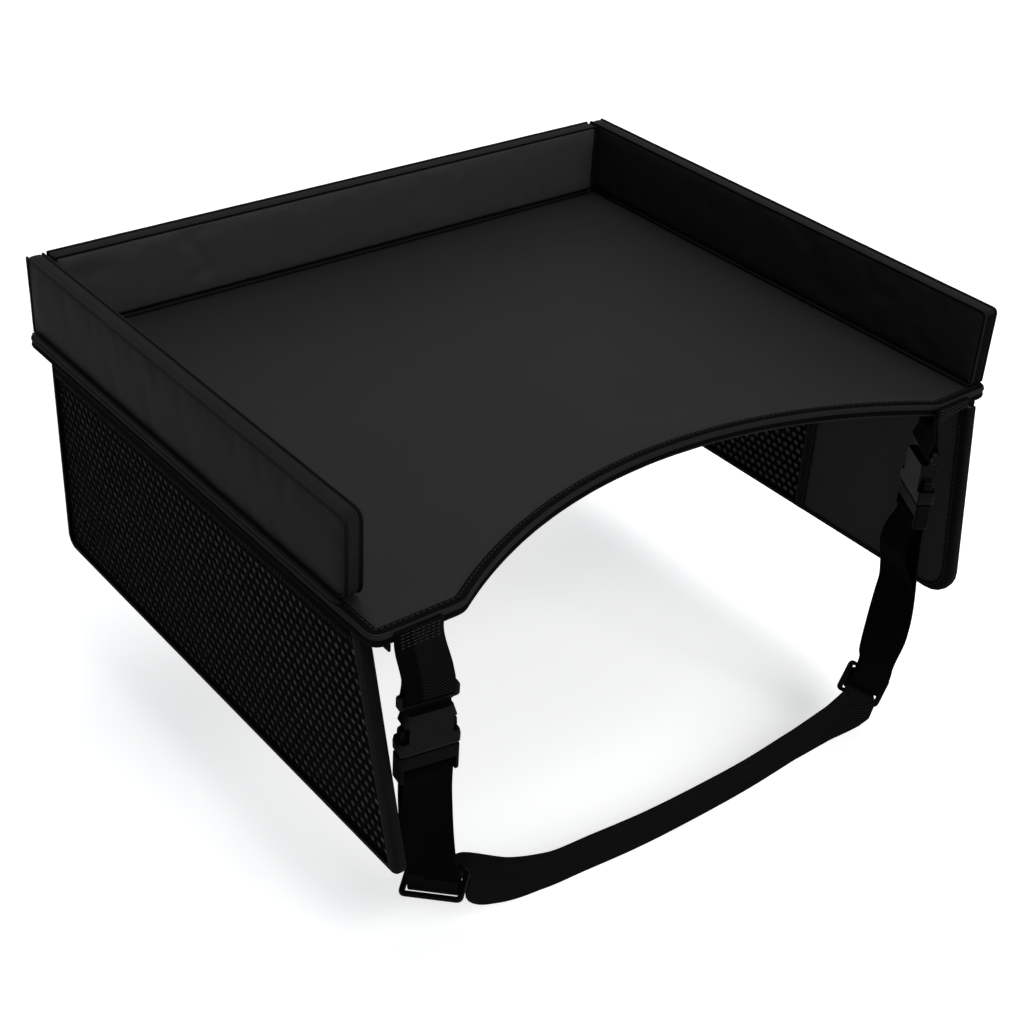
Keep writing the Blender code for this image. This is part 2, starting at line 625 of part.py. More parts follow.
def smooth(knots, step):
    """Knots on a smooth curve through the given ones, no further apart than step."""
    fine = []
    last = len(knots) - 1
    for i in range(last):
        p = [knots[k][0] for k in (max(i - 1, 0), i, i + 1, min(i + 2, last))]
        reach = (p[2] - p[1]).length
        start = (p[2] - p[0]) * (reach / max((p[2] - p[0]).length, FIT_GAP))
        end = (p[3] - p[1]) * (reach / max((p[3] - p[1]).length, FIT_GAP))
        fine.append(knots[i])
        pieces = max(1, math.ceil(reach / step))
        for k in range(1, pieces):
            t = k / pieces
            place = p[1] * (2 * t**3 - 3 * t**2 + 1) + p[2] * (3 * t**2 - 2 * t**3)
            place += start * (t**3 - 2 * t**2 + t) + end * (t**3 - t**2)
            fine.append((place, knots[i][1].lerp(knots[i + 1][1], t).normalized(), None))
    return fine + [knots[-1]]


class Hang:
    """The way one doubled strap end hangs from its plug's bar down to its slider."""

    def __init__(self, side, bar):
        start = Vector(bar)
        heading = Vector(SLIDER_HEADING[side]).normalized()
        end = start + Vector(SLIDER_OFFSET[side]) - heading * HANG_STRAIGHT[side]
        first = start - Vector((0.0, 0.0, HANG_HANDLES[side][0]))
        second = end - heading * HANG_HANDLES[side][1]
        self.course = interpolate_bezier(start, first, second, end, HANG_STEPS + 1)
        self.marks = [0.0]
        for here, there in zip(self.course, self.course[1:]):
            self.marks.append(self.marks[-1] + (there - here).length)
        self.curved = self.marks[-1]
        self.length = self.curved + HANG_STRAIGHT[side]
        self.headings = [(first - start).normalized(), heading]
        yaw = BUCKLE_YAW[side]
        self.across = (Vector((math.cos(yaw), math.sin(yaw), 0.0)), Vector(SLIDER_ACROSS[side]))

    def frame(self, s):
        """Place, direction, width and face direction at a distance s below the bar."""
        share = min(max(s / self.curved, 0.0), 1.0)
        wide = self.across[0].slerp(self.across[1].normalized(), share)
        if s <= 0.0:
            along = self.headings[0]
            place = self.course[0] + along * s
        elif s >= self.curved:
            along = self.headings[1]
            place = self.course[-1] + along * (s - self.curved)
        else:
            k = max(i for i, mark in enumerate(self.marks) if mark <= s)
            along = (self.course[k + 1] - self.course[k]).normalized()
            place = self.course[k] + along * (s - self.marks[k])
        wide = (wide - along * along.dot(wide)).normalized()
        return place, along, wide, along.cross(wide)

    def knots(self, way, turned=1):
        """Knots for a list of (distance below the bar, offset), the same way round or turned."""
        found = []
        for s, offset in way:
            place, _, wide, face = self.frame(s)
            doubled = 0.0 < s <= self.curved
            found.append((place + face * offset, wide * turned, face if doubled else None))
        return found


def wrap_radius(height, depth):
    """How far from a bar's middle the webbing that goes round it runs."""
    return math.hypot(height, depth) / 2 + FIT_GAP + WEB_THICKNESS / 2


def around_bar(side_sign):
    """The quarter turn that a layer makes from the top of the plug's bar to its side."""
    radius = wrap_radius(PLUG_BAR_HEIGHT, PLUG_BAR_DEPTH)
    first = math.asin(FIT_GAP / radius)
    turns = [first + (QUARTER_TURN - first) * k / ARC_STEPS for k in range(ARC_STEPS + 1)]
    return [(-radius * math.cos(a), side_sign * radius * math.sin(a)) for a in turns]


# Where webbing and buckles hang on each side
TAB_FACE = -HALF_DEPTH - FIT_GAP
TAB_Y = TAB_FACE - (WEB_THICKNESS + LAYER_PITCH) / 2
EYE_BAR = SOCKET_EYE_FOOT + SOCKET_SLOT_HEIGHT + SOCKET_BAR_HEIGHT / 2
PLUG_BAR = MOUTH_GAP + PLUG_SHOULDER_HEIGHT + PLUG_SLOT_HEIGHT + PLUG_BAR_HEIGHT / 2
BAR_WRAP = wrap_radius(SOCKET_BAR_HEIGHT, SOCKET_EYE_DEPTH)
SLIDER_WRAP = wrap_radius(SLIDER_CENTRE_BAR, SLIDER_THICKNESS)


def socket_outline():
    """The socket's front view from its mouth up: flared body, neck and webbing eye."""
    top = SOCKET_EYE_FOOT + SOCKET_SLOT_HEIGHT + SOCKET_BAR_HEIGHT
    right = [(SOCKET_HALF_WIDTH * u, SOCKET_NECK_HEIGHT * v) for u, v in SOCKET_PROFILE_SHARES]
    right += [(SOCKET_HALF_WIDTH, SOCKET_EYE_FOOT - BUCKLE_BEVEL), (SOCKET_HALF_WIDTH, top)]
    return right + [(-u, v) for u, v in reversed(right)]


def arm_outline(sign):
    """A release arm: narrow root, hooked pad that stands in the window, and tapered tip."""
    root = ARM_PIVOT_X
    hook = WINDOW_FOOT + FIT_GAP
    points = [
        (root - ARM_ROOT_HALF_WIDTH, -MOUTH_GAP + FIT_GAP),
        (root + ARM_ROOT_HALF_WIDTH, -MOUTH_GAP + FIT_GAP),
        (ARM_OUTER_X, (hook - MOUTH_GAP) * ARM_NECK_SHARE),
        (ARM_OUTER_X, hook),
        (ARM_PAD_X - FIT_GAP, hook),
        (ARM_PAD_X, hook + WINDOW_HEIGHT * ARM_PAD_LEAD_SHARE),
        (ARM_PAD_X - FIT_GAP, hook + WINDOW_HEIGHT * ARM_PAD_END_SHARE),
        ((ARM_PAD_X + ARM_TIP_X) / 2, ARM_TIP_HEIGHT - WINDOW_HEIGHT * ARM_PAD_LEAD_SHARE),
        (ARM_TIP_X, ARM_TIP_HEIGHT),
        (ARM_TIP_X - ARM_ROOT_HALF_WIDTH, ARM_TIP_HEIGHT - FIT_GAP),
        (ARM_INNER_X, WINDOW_FOOT),
        (ARM_INNER_X, (hook - MOUTH_GAP) * ARM_NECK_SHARE),
    ]
    return [(sign * (u - root), v) for u, v in points]


belt = []
for side in SIDES:
    yaw = BUCKLE_YAW[side]
    top_x = SIDES[side] * (TAB_INSET[side] - HALF_WIDTH)
    hang_x = top_x + TAB_HANG[side][0]
    hang_y = TAB_Y + TAB_HANG[side][1]
    loop_foot = TABLE_TOP - TAB_DROP[side]
    mouth = loop_foot + BAR_WRAP + WEB_THICKNESS / 2 - EYE_BAR
    buckle = axis_empty(f"buckle_{side}_axis", (hang_x, hang_y, mouth), yaw)

    # Tab: both layers of the webbing hang from the table's edge and turn round the eye's bar
    drop = TABLE_TOP - (mouth + EYE_BAR)
    layers, wrap_rings = {1: [], -1: []}, []
    for k in range(TAB_STEPS + 1):
        fall = drop * k / TAB_STEPS
        free = (fall - (TABLE_TOP - EDGE_TAPE_FOOT)) / (drop * TAB_TWIST_SHARE)
        twist = min(max(free, 0.0), 1.0)
        ease = twist * twist * (3 - 2 * twist)
        wide = Vector((math.cos(yaw * ease), math.sin(yaw * ease), 0.0))
        front = Vector((wide.y, -wide.x, 0.0))
        x = top_x + (hang_x - top_x) * ease
        y = TAB_Y + (hang_y - TAB_Y) * ease
        spread = max(0.0, (k / TAB_STEPS - 1 + TAB_SPREAD_SHARE) / TAB_SPREAD_SHARE)
        pitch = LAYER_PITCH + (2 * BAR_WRAP - LAYER_PITCH) * spread
        for side_face, rings in layers.items():
            face = front * side_face
            rings.append((Vector((x, y, TABLE_TOP - fall)) + face * (pitch / 2), wide, face))
    for k in range(1, 2 * ARC_STEPS):
        a = math.pi * k / (2 * ARC_STEPS)
        face = front * math.cos(a) - Vector((0.0, 0.0, math.sin(a)))
        wrap_rings.append((Vector((hang_x, hang_y, mouth + EYE_BAR)) + face * BAR_WRAP, wide, face))
    middle = len(layers[1]) + len(wrap_rings) // 2
    ribbon(f"strap_tab_{side}", layers[1] + wrap_rings + layers[-1][::-1], middle)

    # Socket: moulded shell with a cavity, two side windows and a webbing slot
    socket = solid(
        f"buckle_socket_{side}",
        prism(socket_outline(), -SOCKET_DEPTH / 2, SOCKET_DEPTH / 2, True),
        MOULDED,
        buckle,
    )
    bevel(socket, BUCKLE_BEVEL)
    cavity_x = SOCKET_HALF_WIDTH - SOCKET_WALL
    cavity_y = SOCKET_DEPTH / 2 - SOCKET_FACE_WALL
    cavity = block((-cavity_x, -cavity_y, -OVERRUN), (cavity_x, cavity_y, SOCKET_CAVITY_HEIGHT))
    combine(socket, f"cavity_tool_{side}", cavity, buckle)
    slot_x = WEB_WIDTH / 2 + FIT_GAP
    slot_top = SOCKET_EYE_FOOT + SOCKET_SLOT_HEIGHT
    slot = block((-slot_x, -SOCKET_DEPTH, SOCKET_EYE_FOOT), (slot_x, SOCKET_DEPTH, slot_top))
    combine(socket, f"eye_tool_{side}", slot, buckle)
    eye_top = slot_top + SOCKET_BAR_HEIGHT + OVERRUN
    thin_foot = SOCKET_NECK_HEIGHT - BUCKLE_BEVEL * NECK_CLEARANCE_SHARE
    for way_out in (-1, 1):
        low, high = sorted((way_out * SOCKET_EYE_DEPTH / 2, way_out * SOCKET_DEPTH))
        clear = block((-SOCKET_DEPTH * 2, low, thin_foot), (SOCKET_DEPTH * 2, high, eye_top))
        label = "front" if way_out < 0 else "back"
        combine(socket, f"thin_tool_{side}_{label}", clear, buckle)
        near = SOCKET_HALF_WIDTH - WINDOW_REACH
        low, high = sorted((way_out * near, way_out * (SOCKET_HALF_WIDTH + OVERRUN)))
        window_top = WINDOW_FOOT + WINDOW_HEIGHT
        window = block((low, -SOCKET_DEPTH, WINDOW_FOOT), (high, SOCKET_DEPTH, window_top))
        label = "a" if way_out < 0 else "b"
        combine(socket, f"window_tool_{side}_{label}", window, buckle)

    # Plug: shoulder, webbing slot and bar below the mouth, and the tongue inside
    plug_foot = -PLUG_BAR - PLUG_BAR_HEIGHT / 2
    body = [(-SOCKET_HALF_WIDTH, plug_foot), (SOCKET_HALF_WIDTH, plug_foot)]
    body += [(SOCKET_HALF_WIDTH, -MOUTH_GAP), (-SOCKET_HALF_WIDTH, -MOUTH_GAP)]
    plug_block = prism(body, -PLUG_DEPTH / 2, PLUG_DEPTH / 2, True)
    plug = solid(f"buckle_plug_{side}", plug_block, MOULDED, buckle)
    bevel(plug, BUCKLE_BEVEL)
    slot_foot = plug_foot + PLUG_BAR_HEIGHT
    slot_half = SOCKET_HALF_WIDTH - PLUG_POST
    slot = block((-slot_half, -PLUG_DEPTH, slot_foot), (slot_half, PLUG_DEPTH, slot_foot + PLUG_SLOT_HEIGHT))
    combine(plug, f"plug_slot_tool_{side}", slot, buckle)
    for face in (-1, 1):
        label = "front" if face < 0 else "back"
        low, high = sorted((face * PLUG_BAR_DEPTH / 2, face * PLUG_DEPTH))
        clear = block((-slot_half, low, plug_foot - OVERRUN), (slot_half, high, slot_foot + FIT_GAP))
        combine(plug, f"bar_tool_{side}_{label}", clear, buckle)
    tongue_y = cavity_y - FIT_GAP
    tongue_foot = -MOUTH_GAP - PLUG_SHOULDER_HEIGHT / 2
    tongue = block((-TONGUE_HALF_WIDTH, -tongue_y, tongue_foot), (TONGUE_HALF_WIDTH, tongue_y, TONGUE_HEIGHT))
    combine(plug, f"tongue_tool_{side}", tongue, buckle, "UNION")

    # Release arms: each on an empty at its root, where the moulding flexes
    for label, sign in (("a", -1), ("b", 1)):
        pivot = axis_empty(f"buckle_arm_{side}_{label}_axis", (sign * ARM_PIVOT_X, 0.0, 0.0), parent=buckle)
        arm = solid(
            f"buckle_arm_{side}_{label}",
            prism(arm_outline(sign), -ARM_DEPTH / 2, ARM_DEPTH / 2, True),
            MOULDED,
            pivot,
        )
        bevel(arm, FIT_GAP, 1)

    # The doubled strap end: the belt's own layer in front, its sewn return behind
    hang = Hang(side, (hang_x, hang_y, mouth - PLUG_BAR))
    end = hang.length
    wrap = SLIDER_WRAP
    outer = wrap + LAYER_PITCH
    half_frame = SLIDER_WIDTH / 2
    inner_edge = half_frame - SLIDER_FRAME_BAR
    slot_reach = SLIDER_CENTRE_BAR / 2 + (inner_edge - SLIDER_CENTRE_BAR / 2) * SLOT_REACH_SHARE
    clear_web = SLIDER_THICKNESS / 2 + FIT_GAP * 2 + WEB_THICKNESS / 2
    part = LAYER_PITCH / 2
    bulge = RETURN_BULGE[side]
    turn = [math.pi * k / (2 * ARC_STEPS) for k in range(2 * ARC_STEPS + 1)]
    front, back = around_bar(1), around_bar(-1)
    for share, spread, slack in HANG_LEAD_SHARES:
        front.append((share * PLUG_BAR * 2, part + BAR_SPREAD * spread))
        back.append((share * PLUG_BAR * 2, -part - BAR_SPREAD * spread - bulge * slack))
    first, last = front[-1][0], end - 2 * half_frame
    for k in range(1, HANG_KNOTS + 1):
        front.append((first + (last - first) * k / HANG_KNOTS, part))
        back.append((first + (last - first) * k / HANG_KNOTS, -part))
    around = [(end + wrap * math.sin(a), -wrap * math.cos(a)) for a in turn]
    tail = (end - slot_reach / 2, 2 * part)
    if side == "left":
        back += [(end - half_frame, -2 * part), (end - slot_reach, -2 * part)]
        back += around + [tail, (end - slot_reach, 0.0), (end - half_frame, 0.0)]
        front += [(end - half_frame, 2 * part), (end - slot_reach, 2 * part + FIT_GAP)]
        front += [(end - slot_reach / 2, wrap + FIT_GAP)]
        front += [(end + outer * math.sin(a), outer * math.cos(a)) for a in turn]
        front += [(end - clear_web, -slot_reach), (end - clear_web, -half_frame)]
        front += [(end - part, -half_frame - wrap)]
    else:
        lift = (clear_web + part) / 2
        lead = end - half_frame * FRAME_LEAD_SHARE
        back += [(lead, -part - lift), (end - half_frame, -clear_web - 2 * part)]
        back += [(end - inner_edge, -clear_web - 2 * part)]
        back += around + [tail, (end - slot_reach * SLOT_TAIL_SHARE, -part)]
        over = [share * math.pi for share in OVER_BAR_SHARES]
        front += [(lead, part - lift), (end - half_frame, -clear_web)]
        front += [(end - inner_edge + part, -clear_web), (end - slot_reach, part)]
        front += [(end + outer * math.sin(a), outer * math.cos(a)) for a in over]
        front += [(end + slot_reach, part), (end + inner_edge - part, -clear_web)]
        front += [(end + half_frame, -clear_web), (end + half_frame + wrap, -clear_web - part)]
    if side == "left":
        belt += hang.knots(front)
        belt += [(Vector(p), Vector(w).normalized(), None) for p, w in zip(BELT_ROUTE, BELT_ACROSS)]
    else:
        belt += reversed(hang.knots(front, -1))
    ribbon(f"belt_return_{side}", square_rings(smooth(hang.knots(back), WEB_WIDTH / 2)))

    # Slider: a rounded frame with a centre bar, square to the strap or along it
    place, along, wide, face = hang.frame(end)
    normal = along if side == "left" else face
    half_length = SLIDER_LENGTH / 2
    corners = [(-half_length, -half_frame), (half_length, -half_frame)]
    corners += [(half_length, half_frame), (-half_length, half_frame)]
    outline = rounded([(u, v, SLIDER_CORNER_RADIUS) for u, v in corners], [0.0] * len(corners))
    plate = prism(outline, -SLIDER_THICKNESS / 2, SLIDER_THICKNESS / 2)
    slider = solid(f"slider_{side}", plate, MOULDED)
    bevel(slider, SLIDER_BEVEL, 1)
    slot_half = half_length - SLIDER_END_BAR
    for sign in (-1, 1):
        low, high = sorted((sign * SLIDER_CENTRE_BAR / 2, sign * (half_frame - SLIDER_FRAME_BAR)))
        slot = block((-slot_half, low, -OVERRUN), (slot_half, high, OVERRUN))
        label = "a" if sign < 0 else "b"
        combine(slider, f"slider_slot_tool_{side}_{label}", slot, slider)
    stance = Matrix((wide, normal.cross(wide), normal)).transposed()
    slider.matrix_world = Matrix.Translation(place) @ stance.to_4x4()

ribbon("belt_run", square_rings(smooth(belt, WEB_WIDTH / 2)))
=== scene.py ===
"""Looks of a car seat tray table: a padded board in smooth coated cloth, three boxed walls,
two hanging net-pocket flaps and a waist belt on side-release buckles, all black."""

import math

import bmesh
import bpy
from mathutils import Matrix, Vector, noise
from mathutils.geometry import interpolate_bezier


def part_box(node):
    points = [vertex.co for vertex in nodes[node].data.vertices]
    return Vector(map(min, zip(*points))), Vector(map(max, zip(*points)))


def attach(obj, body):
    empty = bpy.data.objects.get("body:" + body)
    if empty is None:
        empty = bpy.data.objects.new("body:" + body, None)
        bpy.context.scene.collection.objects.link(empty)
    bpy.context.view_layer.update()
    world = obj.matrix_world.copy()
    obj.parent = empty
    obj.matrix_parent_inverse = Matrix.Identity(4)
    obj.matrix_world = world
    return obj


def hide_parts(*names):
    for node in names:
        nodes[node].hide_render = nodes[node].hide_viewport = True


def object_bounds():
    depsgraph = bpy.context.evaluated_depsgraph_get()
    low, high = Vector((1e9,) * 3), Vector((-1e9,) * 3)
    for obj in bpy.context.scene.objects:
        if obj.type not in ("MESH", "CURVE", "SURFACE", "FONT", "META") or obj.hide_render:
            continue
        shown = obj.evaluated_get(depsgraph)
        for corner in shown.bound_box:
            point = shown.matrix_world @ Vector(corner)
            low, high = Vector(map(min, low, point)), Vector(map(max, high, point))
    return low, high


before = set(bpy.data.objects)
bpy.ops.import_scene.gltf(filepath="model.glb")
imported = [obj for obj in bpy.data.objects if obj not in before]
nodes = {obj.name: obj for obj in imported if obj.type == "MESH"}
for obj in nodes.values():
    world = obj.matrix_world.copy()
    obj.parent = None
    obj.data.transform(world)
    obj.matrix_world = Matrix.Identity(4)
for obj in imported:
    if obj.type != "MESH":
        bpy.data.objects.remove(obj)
cad_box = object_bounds()
bpy.ops.object.select_all(action="DESELECT")


# View, light and floor
# The tray is seen from its front left corner, a little above, against plain white. Soft lamps
# stand high in front and to the left, and the floor lies just under the hanging belt.
scene = bpy.context.scene
scene.view_settings.view_transform = "Standard"
eye = Vector((-0.5391, -0.6512, 0.4570))
aim = Vector((-0.0237, -0.0380, -0.0619))
roll = math.radians(3.53)
ahead = (aim - eye).normalized()
right = ahead.cross(Vector((0, 0, 1))).normalized()
down = ahead.cross(right)
across_view = right * math.cos(roll) - down * math.sin(roll)
down_view = right * math.sin(roll) + down * math.cos(roll)
lens = bpy.data.cameras.new("photo_view")
lens.lens = 62.23
lens.sensor_width = 36.0
camera = bpy.data.objects.new("photo_view", lens)
stance = Matrix((across_view, -down_view, -ahead)).transposed().to_4x4()
camera.matrix_world = Matrix.Translation(eye) @ stance
scene.collection.objects.link(camera)
scene.camera = camera

world = bpy.data.worlds.new("studio")
scene.world = world
world.use_nodes = True
tree = world.node_tree
tree.nodes.clear()
seen = tree.nodes.new("ShaderNodeLightPath")
sharp = tree.nodes.new("ShaderNodeMath")
sharp.operation = "MAXIMUM"
clear = tree.nodes.new("ShaderNodeMath")
clear.operation = "MAXIMUM"
soft_sky = tree.nodes.new("ShaderNodeBackground")
soft_sky.inputs["Color"].default_value = (0.93, 0.96, 1.0, 1.0)
soft_sky.inputs["Strength"].default_value = 0.34
white_sky = tree.nodes.new("ShaderNodeBackground")
white_sky.inputs["Strength"].default_value = 1.0
white_sky.inputs["Color"].default_value = (1.0, 1.0, 1.0, 1.0)
choose = tree.nodes.new("ShaderNodeMixShader")
out = tree.nodes.new("ShaderNodeOutputWorld")
tree.links.new(seen.outputs["Is Camera Ray"], sharp.inputs[0])
tree.links.new(seen.outputs["Is Glossy Ray"], sharp.inputs[1])
tree.links.new(sharp.outputs[0], clear.inputs[0])
tree.links.new(seen.outputs["Is Transmission Ray"], clear.inputs[1])
tree.links.new(clear.outputs[0], choose.inputs[0])
tree.links.new(soft_sky.outputs[0], choose.inputs[1])
tree.links.new(white_sky.outputs[0], choose.inputs[2])
tree.links.new(choose.outputs[0], out.inputs[0])

for name, place, power, size in (
    ("front_lamp", (0.1, -1.9, 1.3), 34.0, 1.4),
    ("top_lamp", (0.2, 0.1, 2.2), 26.0, 1.6),
    ("left_lamp", (-2.0, -0.4, 0.7), 2.0, 1.2),
):
    lamp = bpy.data.lights.new(name, "AREA")
    lamp.energy = power
    lamp.size = size
    stand = bpy.data.objects.new(name, lamp)
    stand.location = place
    stand.rotation_euler = (Vector((0, 0, -0.05)) - Vector(place)).to_track_quat("-Z", "Y").to_euler()
    scene.collection.objects.link(stand)

bpy.ops.mesh.primitive_plane_add(size=9.0, location=(0.0, 0.0, cad_box[0][2] - 0.0015))
floor = bpy.context.object
floor.name = "floor"
bpy.ops.object.transform_apply(location=True, rotation=True, scale=True)
pale = bpy.data.materials.new("pale floor")
pale.use_nodes = True
shader = pale.node_tree.nodes["Principled BSDF"]
shader.inputs["Base Color"].default_value = (0.93, 0.93, 0.93, 1.0)
shader.inputs["Roughness"].default_value = 0.9
shader.inputs["Specular IOR Level"].default_value = 0.0
seen = pale.node_tree.nodes.new("ShaderNodeLightPath")
glow = pale.node_tree.nodes.new("ShaderNodeMath")
glow.operation = "MULTIPLY"
glow.inputs[1].default_value = 0.45
pale.node_tree.links.new(seen.outputs["Is Camera Ray"], glow.inputs[0])
pale.node_tree.links.new(glow.outputs[0], shader.inputs["Emission Strength"])
shader.inputs["Emission Color"].default_value = (1.0, 1.0, 1.0, 1.0)
floor.data.materials.append(pale)


# Waist belt
# One flat woven nylon strap of 25 mm webbing. Each end goes round the bar of its buckle's plug
# and comes back to a slider, whose middle bar it is sewn round; the run between them sags.
def link(tree, start, end):
    """Joins two sockets of a material."""
    tree.links.new(start, end)


def effect(name, inputs, outputs):
    """An empty node group with named inputs, given with their values, and outputs."""
    made = bpy.data.node_groups.new(name, "ShaderNodeTree")
    for label, kind, value in inputs:
        made.interface.new_socket(label, in_out="INPUT", socket_type=kind).default_value = value
    for label, kind in outputs:
        made.interface.new_socket(label, in_out="OUTPUT", socket_type=kind)
    return made, made.nodes.new("NodeGroupInput"), made.nodes.new("NodeGroupOutput")


def sums(tree, operation, first, second=None):
    """A Math node on sockets or numbers; returns its output."""
    made = tree.nodes.new("ShaderNodeMath")
    made.operation = operation
    for slot_number, value in enumerate((first, second)):
        if isinstance(value, (int, float)):
            made.inputs[slot_number].default_value = value
        elif value is not None:
            tree.links.new(value, made.inputs[slot_number])
    return made.outputs[0]


# Yarn: one thread system laid as chevrons, ribs or a plain weave over a piece's own UV map
# in metres. Lean is how far the ribs lean, and Zigzag the width of a chevron's arm.
yarn, yarn_in, yarn_out = effect(
    "yarn relief",
    [
        ("Pitch", "NodeSocketFloat", 0.0016),
        ("Lean", "NodeSocketFloat", 1.0),
        ("Zigzag", "NodeSocketFloat", 0.0025),
    ],
    [("Height", "NodeSocketFloat"), ("Shade", "NodeSocketFloat")],
)
t = yarn
laid = t.nodes.new("ShaderNodeUVMap")
laid.uv_map = "cloth"
split = t.nodes.new("ShaderNodeSeparateXYZ")
link(t, laid.outputs[0], split.inputs[0])
folded = sums(t, "PINGPONG", split.outputs[1], yarn_in.outputs["Zigzag"])
leaning = sums(t, "MULTIPLY", folded, yarn_in.outputs["Lean"])
travel = sums(t, "ADD", split.outputs[0], leaning)
turns = sums(t, "DIVIDE", travel, yarn_in.outputs["Pitch"])
wave = sums(t, "SINE", sums(t, "MULTIPLY", turns, 2 * math.pi))
height = sums(t, "ADD", sums(t, "MULTIPLY", wave, 0.5), 0.5)
lint = t.nodes.new("ShaderNodeTexNoise")
lint.inputs["Scale"].default_value = 900.0
lint.inputs["Detail"].default_value = 2.0
link(t, laid.outputs[0], lint.inputs["Vector"])
fuzz = sums(t, "MULTIPLY", sums(t, "SUBTRACT", lint.outputs[0], 0.5), 0.5)
rough_height = sums(t, "ADD", height, fuzz)
link(t, rough_height, yarn_out.inputs["Height"])
link(t, sums(t, "POWER", height, 2.4), yarn_out.inputs["Shade"])


def two_toned(name, group_tree, values, dark, light, relief, strength, roughness, shine):
    """A black cloth between two tones that an effect's shade mixes, with relief in metres."""
    made = bpy.data.materials.new(name)
    made.use_nodes = True
    t = made.node_tree
    shader = t.nodes["Principled BSDF"]
    group = t.nodes.new("ShaderNodeGroup")
    group.node_tree = group_tree
    for label, value in values.items():
        group.inputs[label].default_value = value
    tone = t.nodes.new("ShaderNodeMix")
    tone.data_type = "RGBA"
    tone.inputs["A"].default_value = (*dark, 1.0)
    tone.inputs["B"].default_value = (*light, 1.0)
    link(t, group.outputs["Shade"], tone.inputs["Factor"])
    link(t, tone.outputs["Result"], shader.inputs["Base Color"])
    bump = t.nodes.new("ShaderNodeBump")
    bump.inputs["Distance"].default_value = relief
    bump.inputs["Strength"].default_value = strength
    link(t, group.outputs["Height"], bump.inputs["Height"])
    link(t, bump.outputs[0], shader.inputs["Normal"])
    shader.inputs["Roughness"].default_value = roughness
    shader.inputs["Specular IOR Level"].default_value = shine
    return made


def woven(name, dark, light, pitch, lean, zigzag, relief, roughness=0.85, shine=0.06):
    """A woven black cloth: yarn colour in the grooves and on the ribs, and relief in metres."""
    values = {"Pitch": pitch, "Lean": lean, "Zigzag": zigzag}
    return two_toned(name, yarn, values, dark, light, relief, 0.8, roughness, shine)


strap_cloth = woven(
    "strap webbing", (0.0002,) * 3, (0.0085, 0.0085, 0.0088), 0.0016, 1.0, 0.0042, 0.00030, 0.85, 0.015
)
smooth_strap = woven("strap back", (0.0002,) * 3, (0.0008,) * 3, 0.0011, 0.35, 0.0031, 0.00010, 0.80, 0.015)

WEB_WIDTH = 0.0250
WEB_THICKNESS = 0.0011
LAYER_PITCH = 0.0015
FIT_GAP = 0.0003
SIDES = {"left": 1, "right": -1}
ARC_STEPS = 6
BUCKLE_YAW = {"left": math.radians(-10), "right": math.radians(60)}
PLUG_BAR_PLACE = {"left": (-0.1733, -0.1666, -0.076748), "right": (0.1610, -0.1601, -0.062748)}
PLUG_BAR_WRAP = math.hypot(0.0030, 0.0026) / 2 + FIT_GAP + WEB_THICKNESS / 2
PLUG_DEPTH_BELOW_MOUTH = 0.0145
SLIDER_WRAP = math.hypot(0.0032, 0.0024) / 2 + FIT_GAP + WEB_THICKNESS / 2
SLIDER_CENTRE = {"left": (-0.1635, -0.1635, -0.155448), "right": (0.1475, -0.1610, -0.176048)}
SLIDER_ACROSS = {"left": (0.66, -0.72, -0.20), "right": (-0.62, 0.42, 0.66)}
SLIDER_HEADING = {"left": (0.22, 0.04, -0.97), "right": (-0.62, -0.12, -0.77)}
HANG_HANDLES = {"left": (0.024, 0.018), "right": (0.036, 0.018)}
HANG_STRAIGHT = {"left": 0.0080, "right": 0.0145}
HANG_STEPS = 90
RETURN_BULGE = {"left": 0.0010, "right": 0.0070}
BAR_SPREAD = 0.0018
HANG_LEADS = [(0.15, 0.9, 0.1), (0.40, 0.5, 0.65), (0.75, 0.2, 1.0), (1.25, 0.0, 0.5), (1.70, 0.0, 0.0)]
HANG_KNOTS = 7
SMOOTH_ABOVE = -0.150
BELT_ROUTE = [
    (-0.1470, -0.1530, -0.1580),
    (-0.1385, -0.1550, -0.1715),
    (-0.1170, -0.1575, -0.1855),
    (-0.0880, -0.1585, -0.1945),
    (-0.0595, -0.1590, -0.1974),
    (-0.0223, -0.1595, -0.2008),
    (0.0142, -0.1600, -0.2015),
    (0.0552, -0.1610, -0.1997),
    (0.0905, -0.1635, -0.1928),
    (0.1158, -0.1648, -0.1885),
]
BELT_ACROSS = [
    (0.45, -0.80, -0.40),
    (0.25, -0.60, -0.75),
    (0.05, -0.22, -0.97),
    (0.00, 0.00, -1.00),
    (0.00, 0.00, -1.00),
    (0.00, 0.00, -1.00),
    (0.00, 0.00, -1.00),
    (0.00, 0.00, -1.00),
    (0.10, -0.02, -0.99),
    (0.32, -0.14, -0.93),
]


def square_rings(knots):
    """Rings through places that each give a width, and a face direction or None for square."""
    rings = []
    for i, (place, across, face) in enumerate(knots):
        along = (knots[min(i + 1, len(knots) - 1)][0] - knots[max(i - 1, 0)][0]).normalized()
        wide = (across - along * along.dot(across)).normalized()
        rings.append((place, across, face) if face else (place, wide, along.cross(wide)))
    return rings


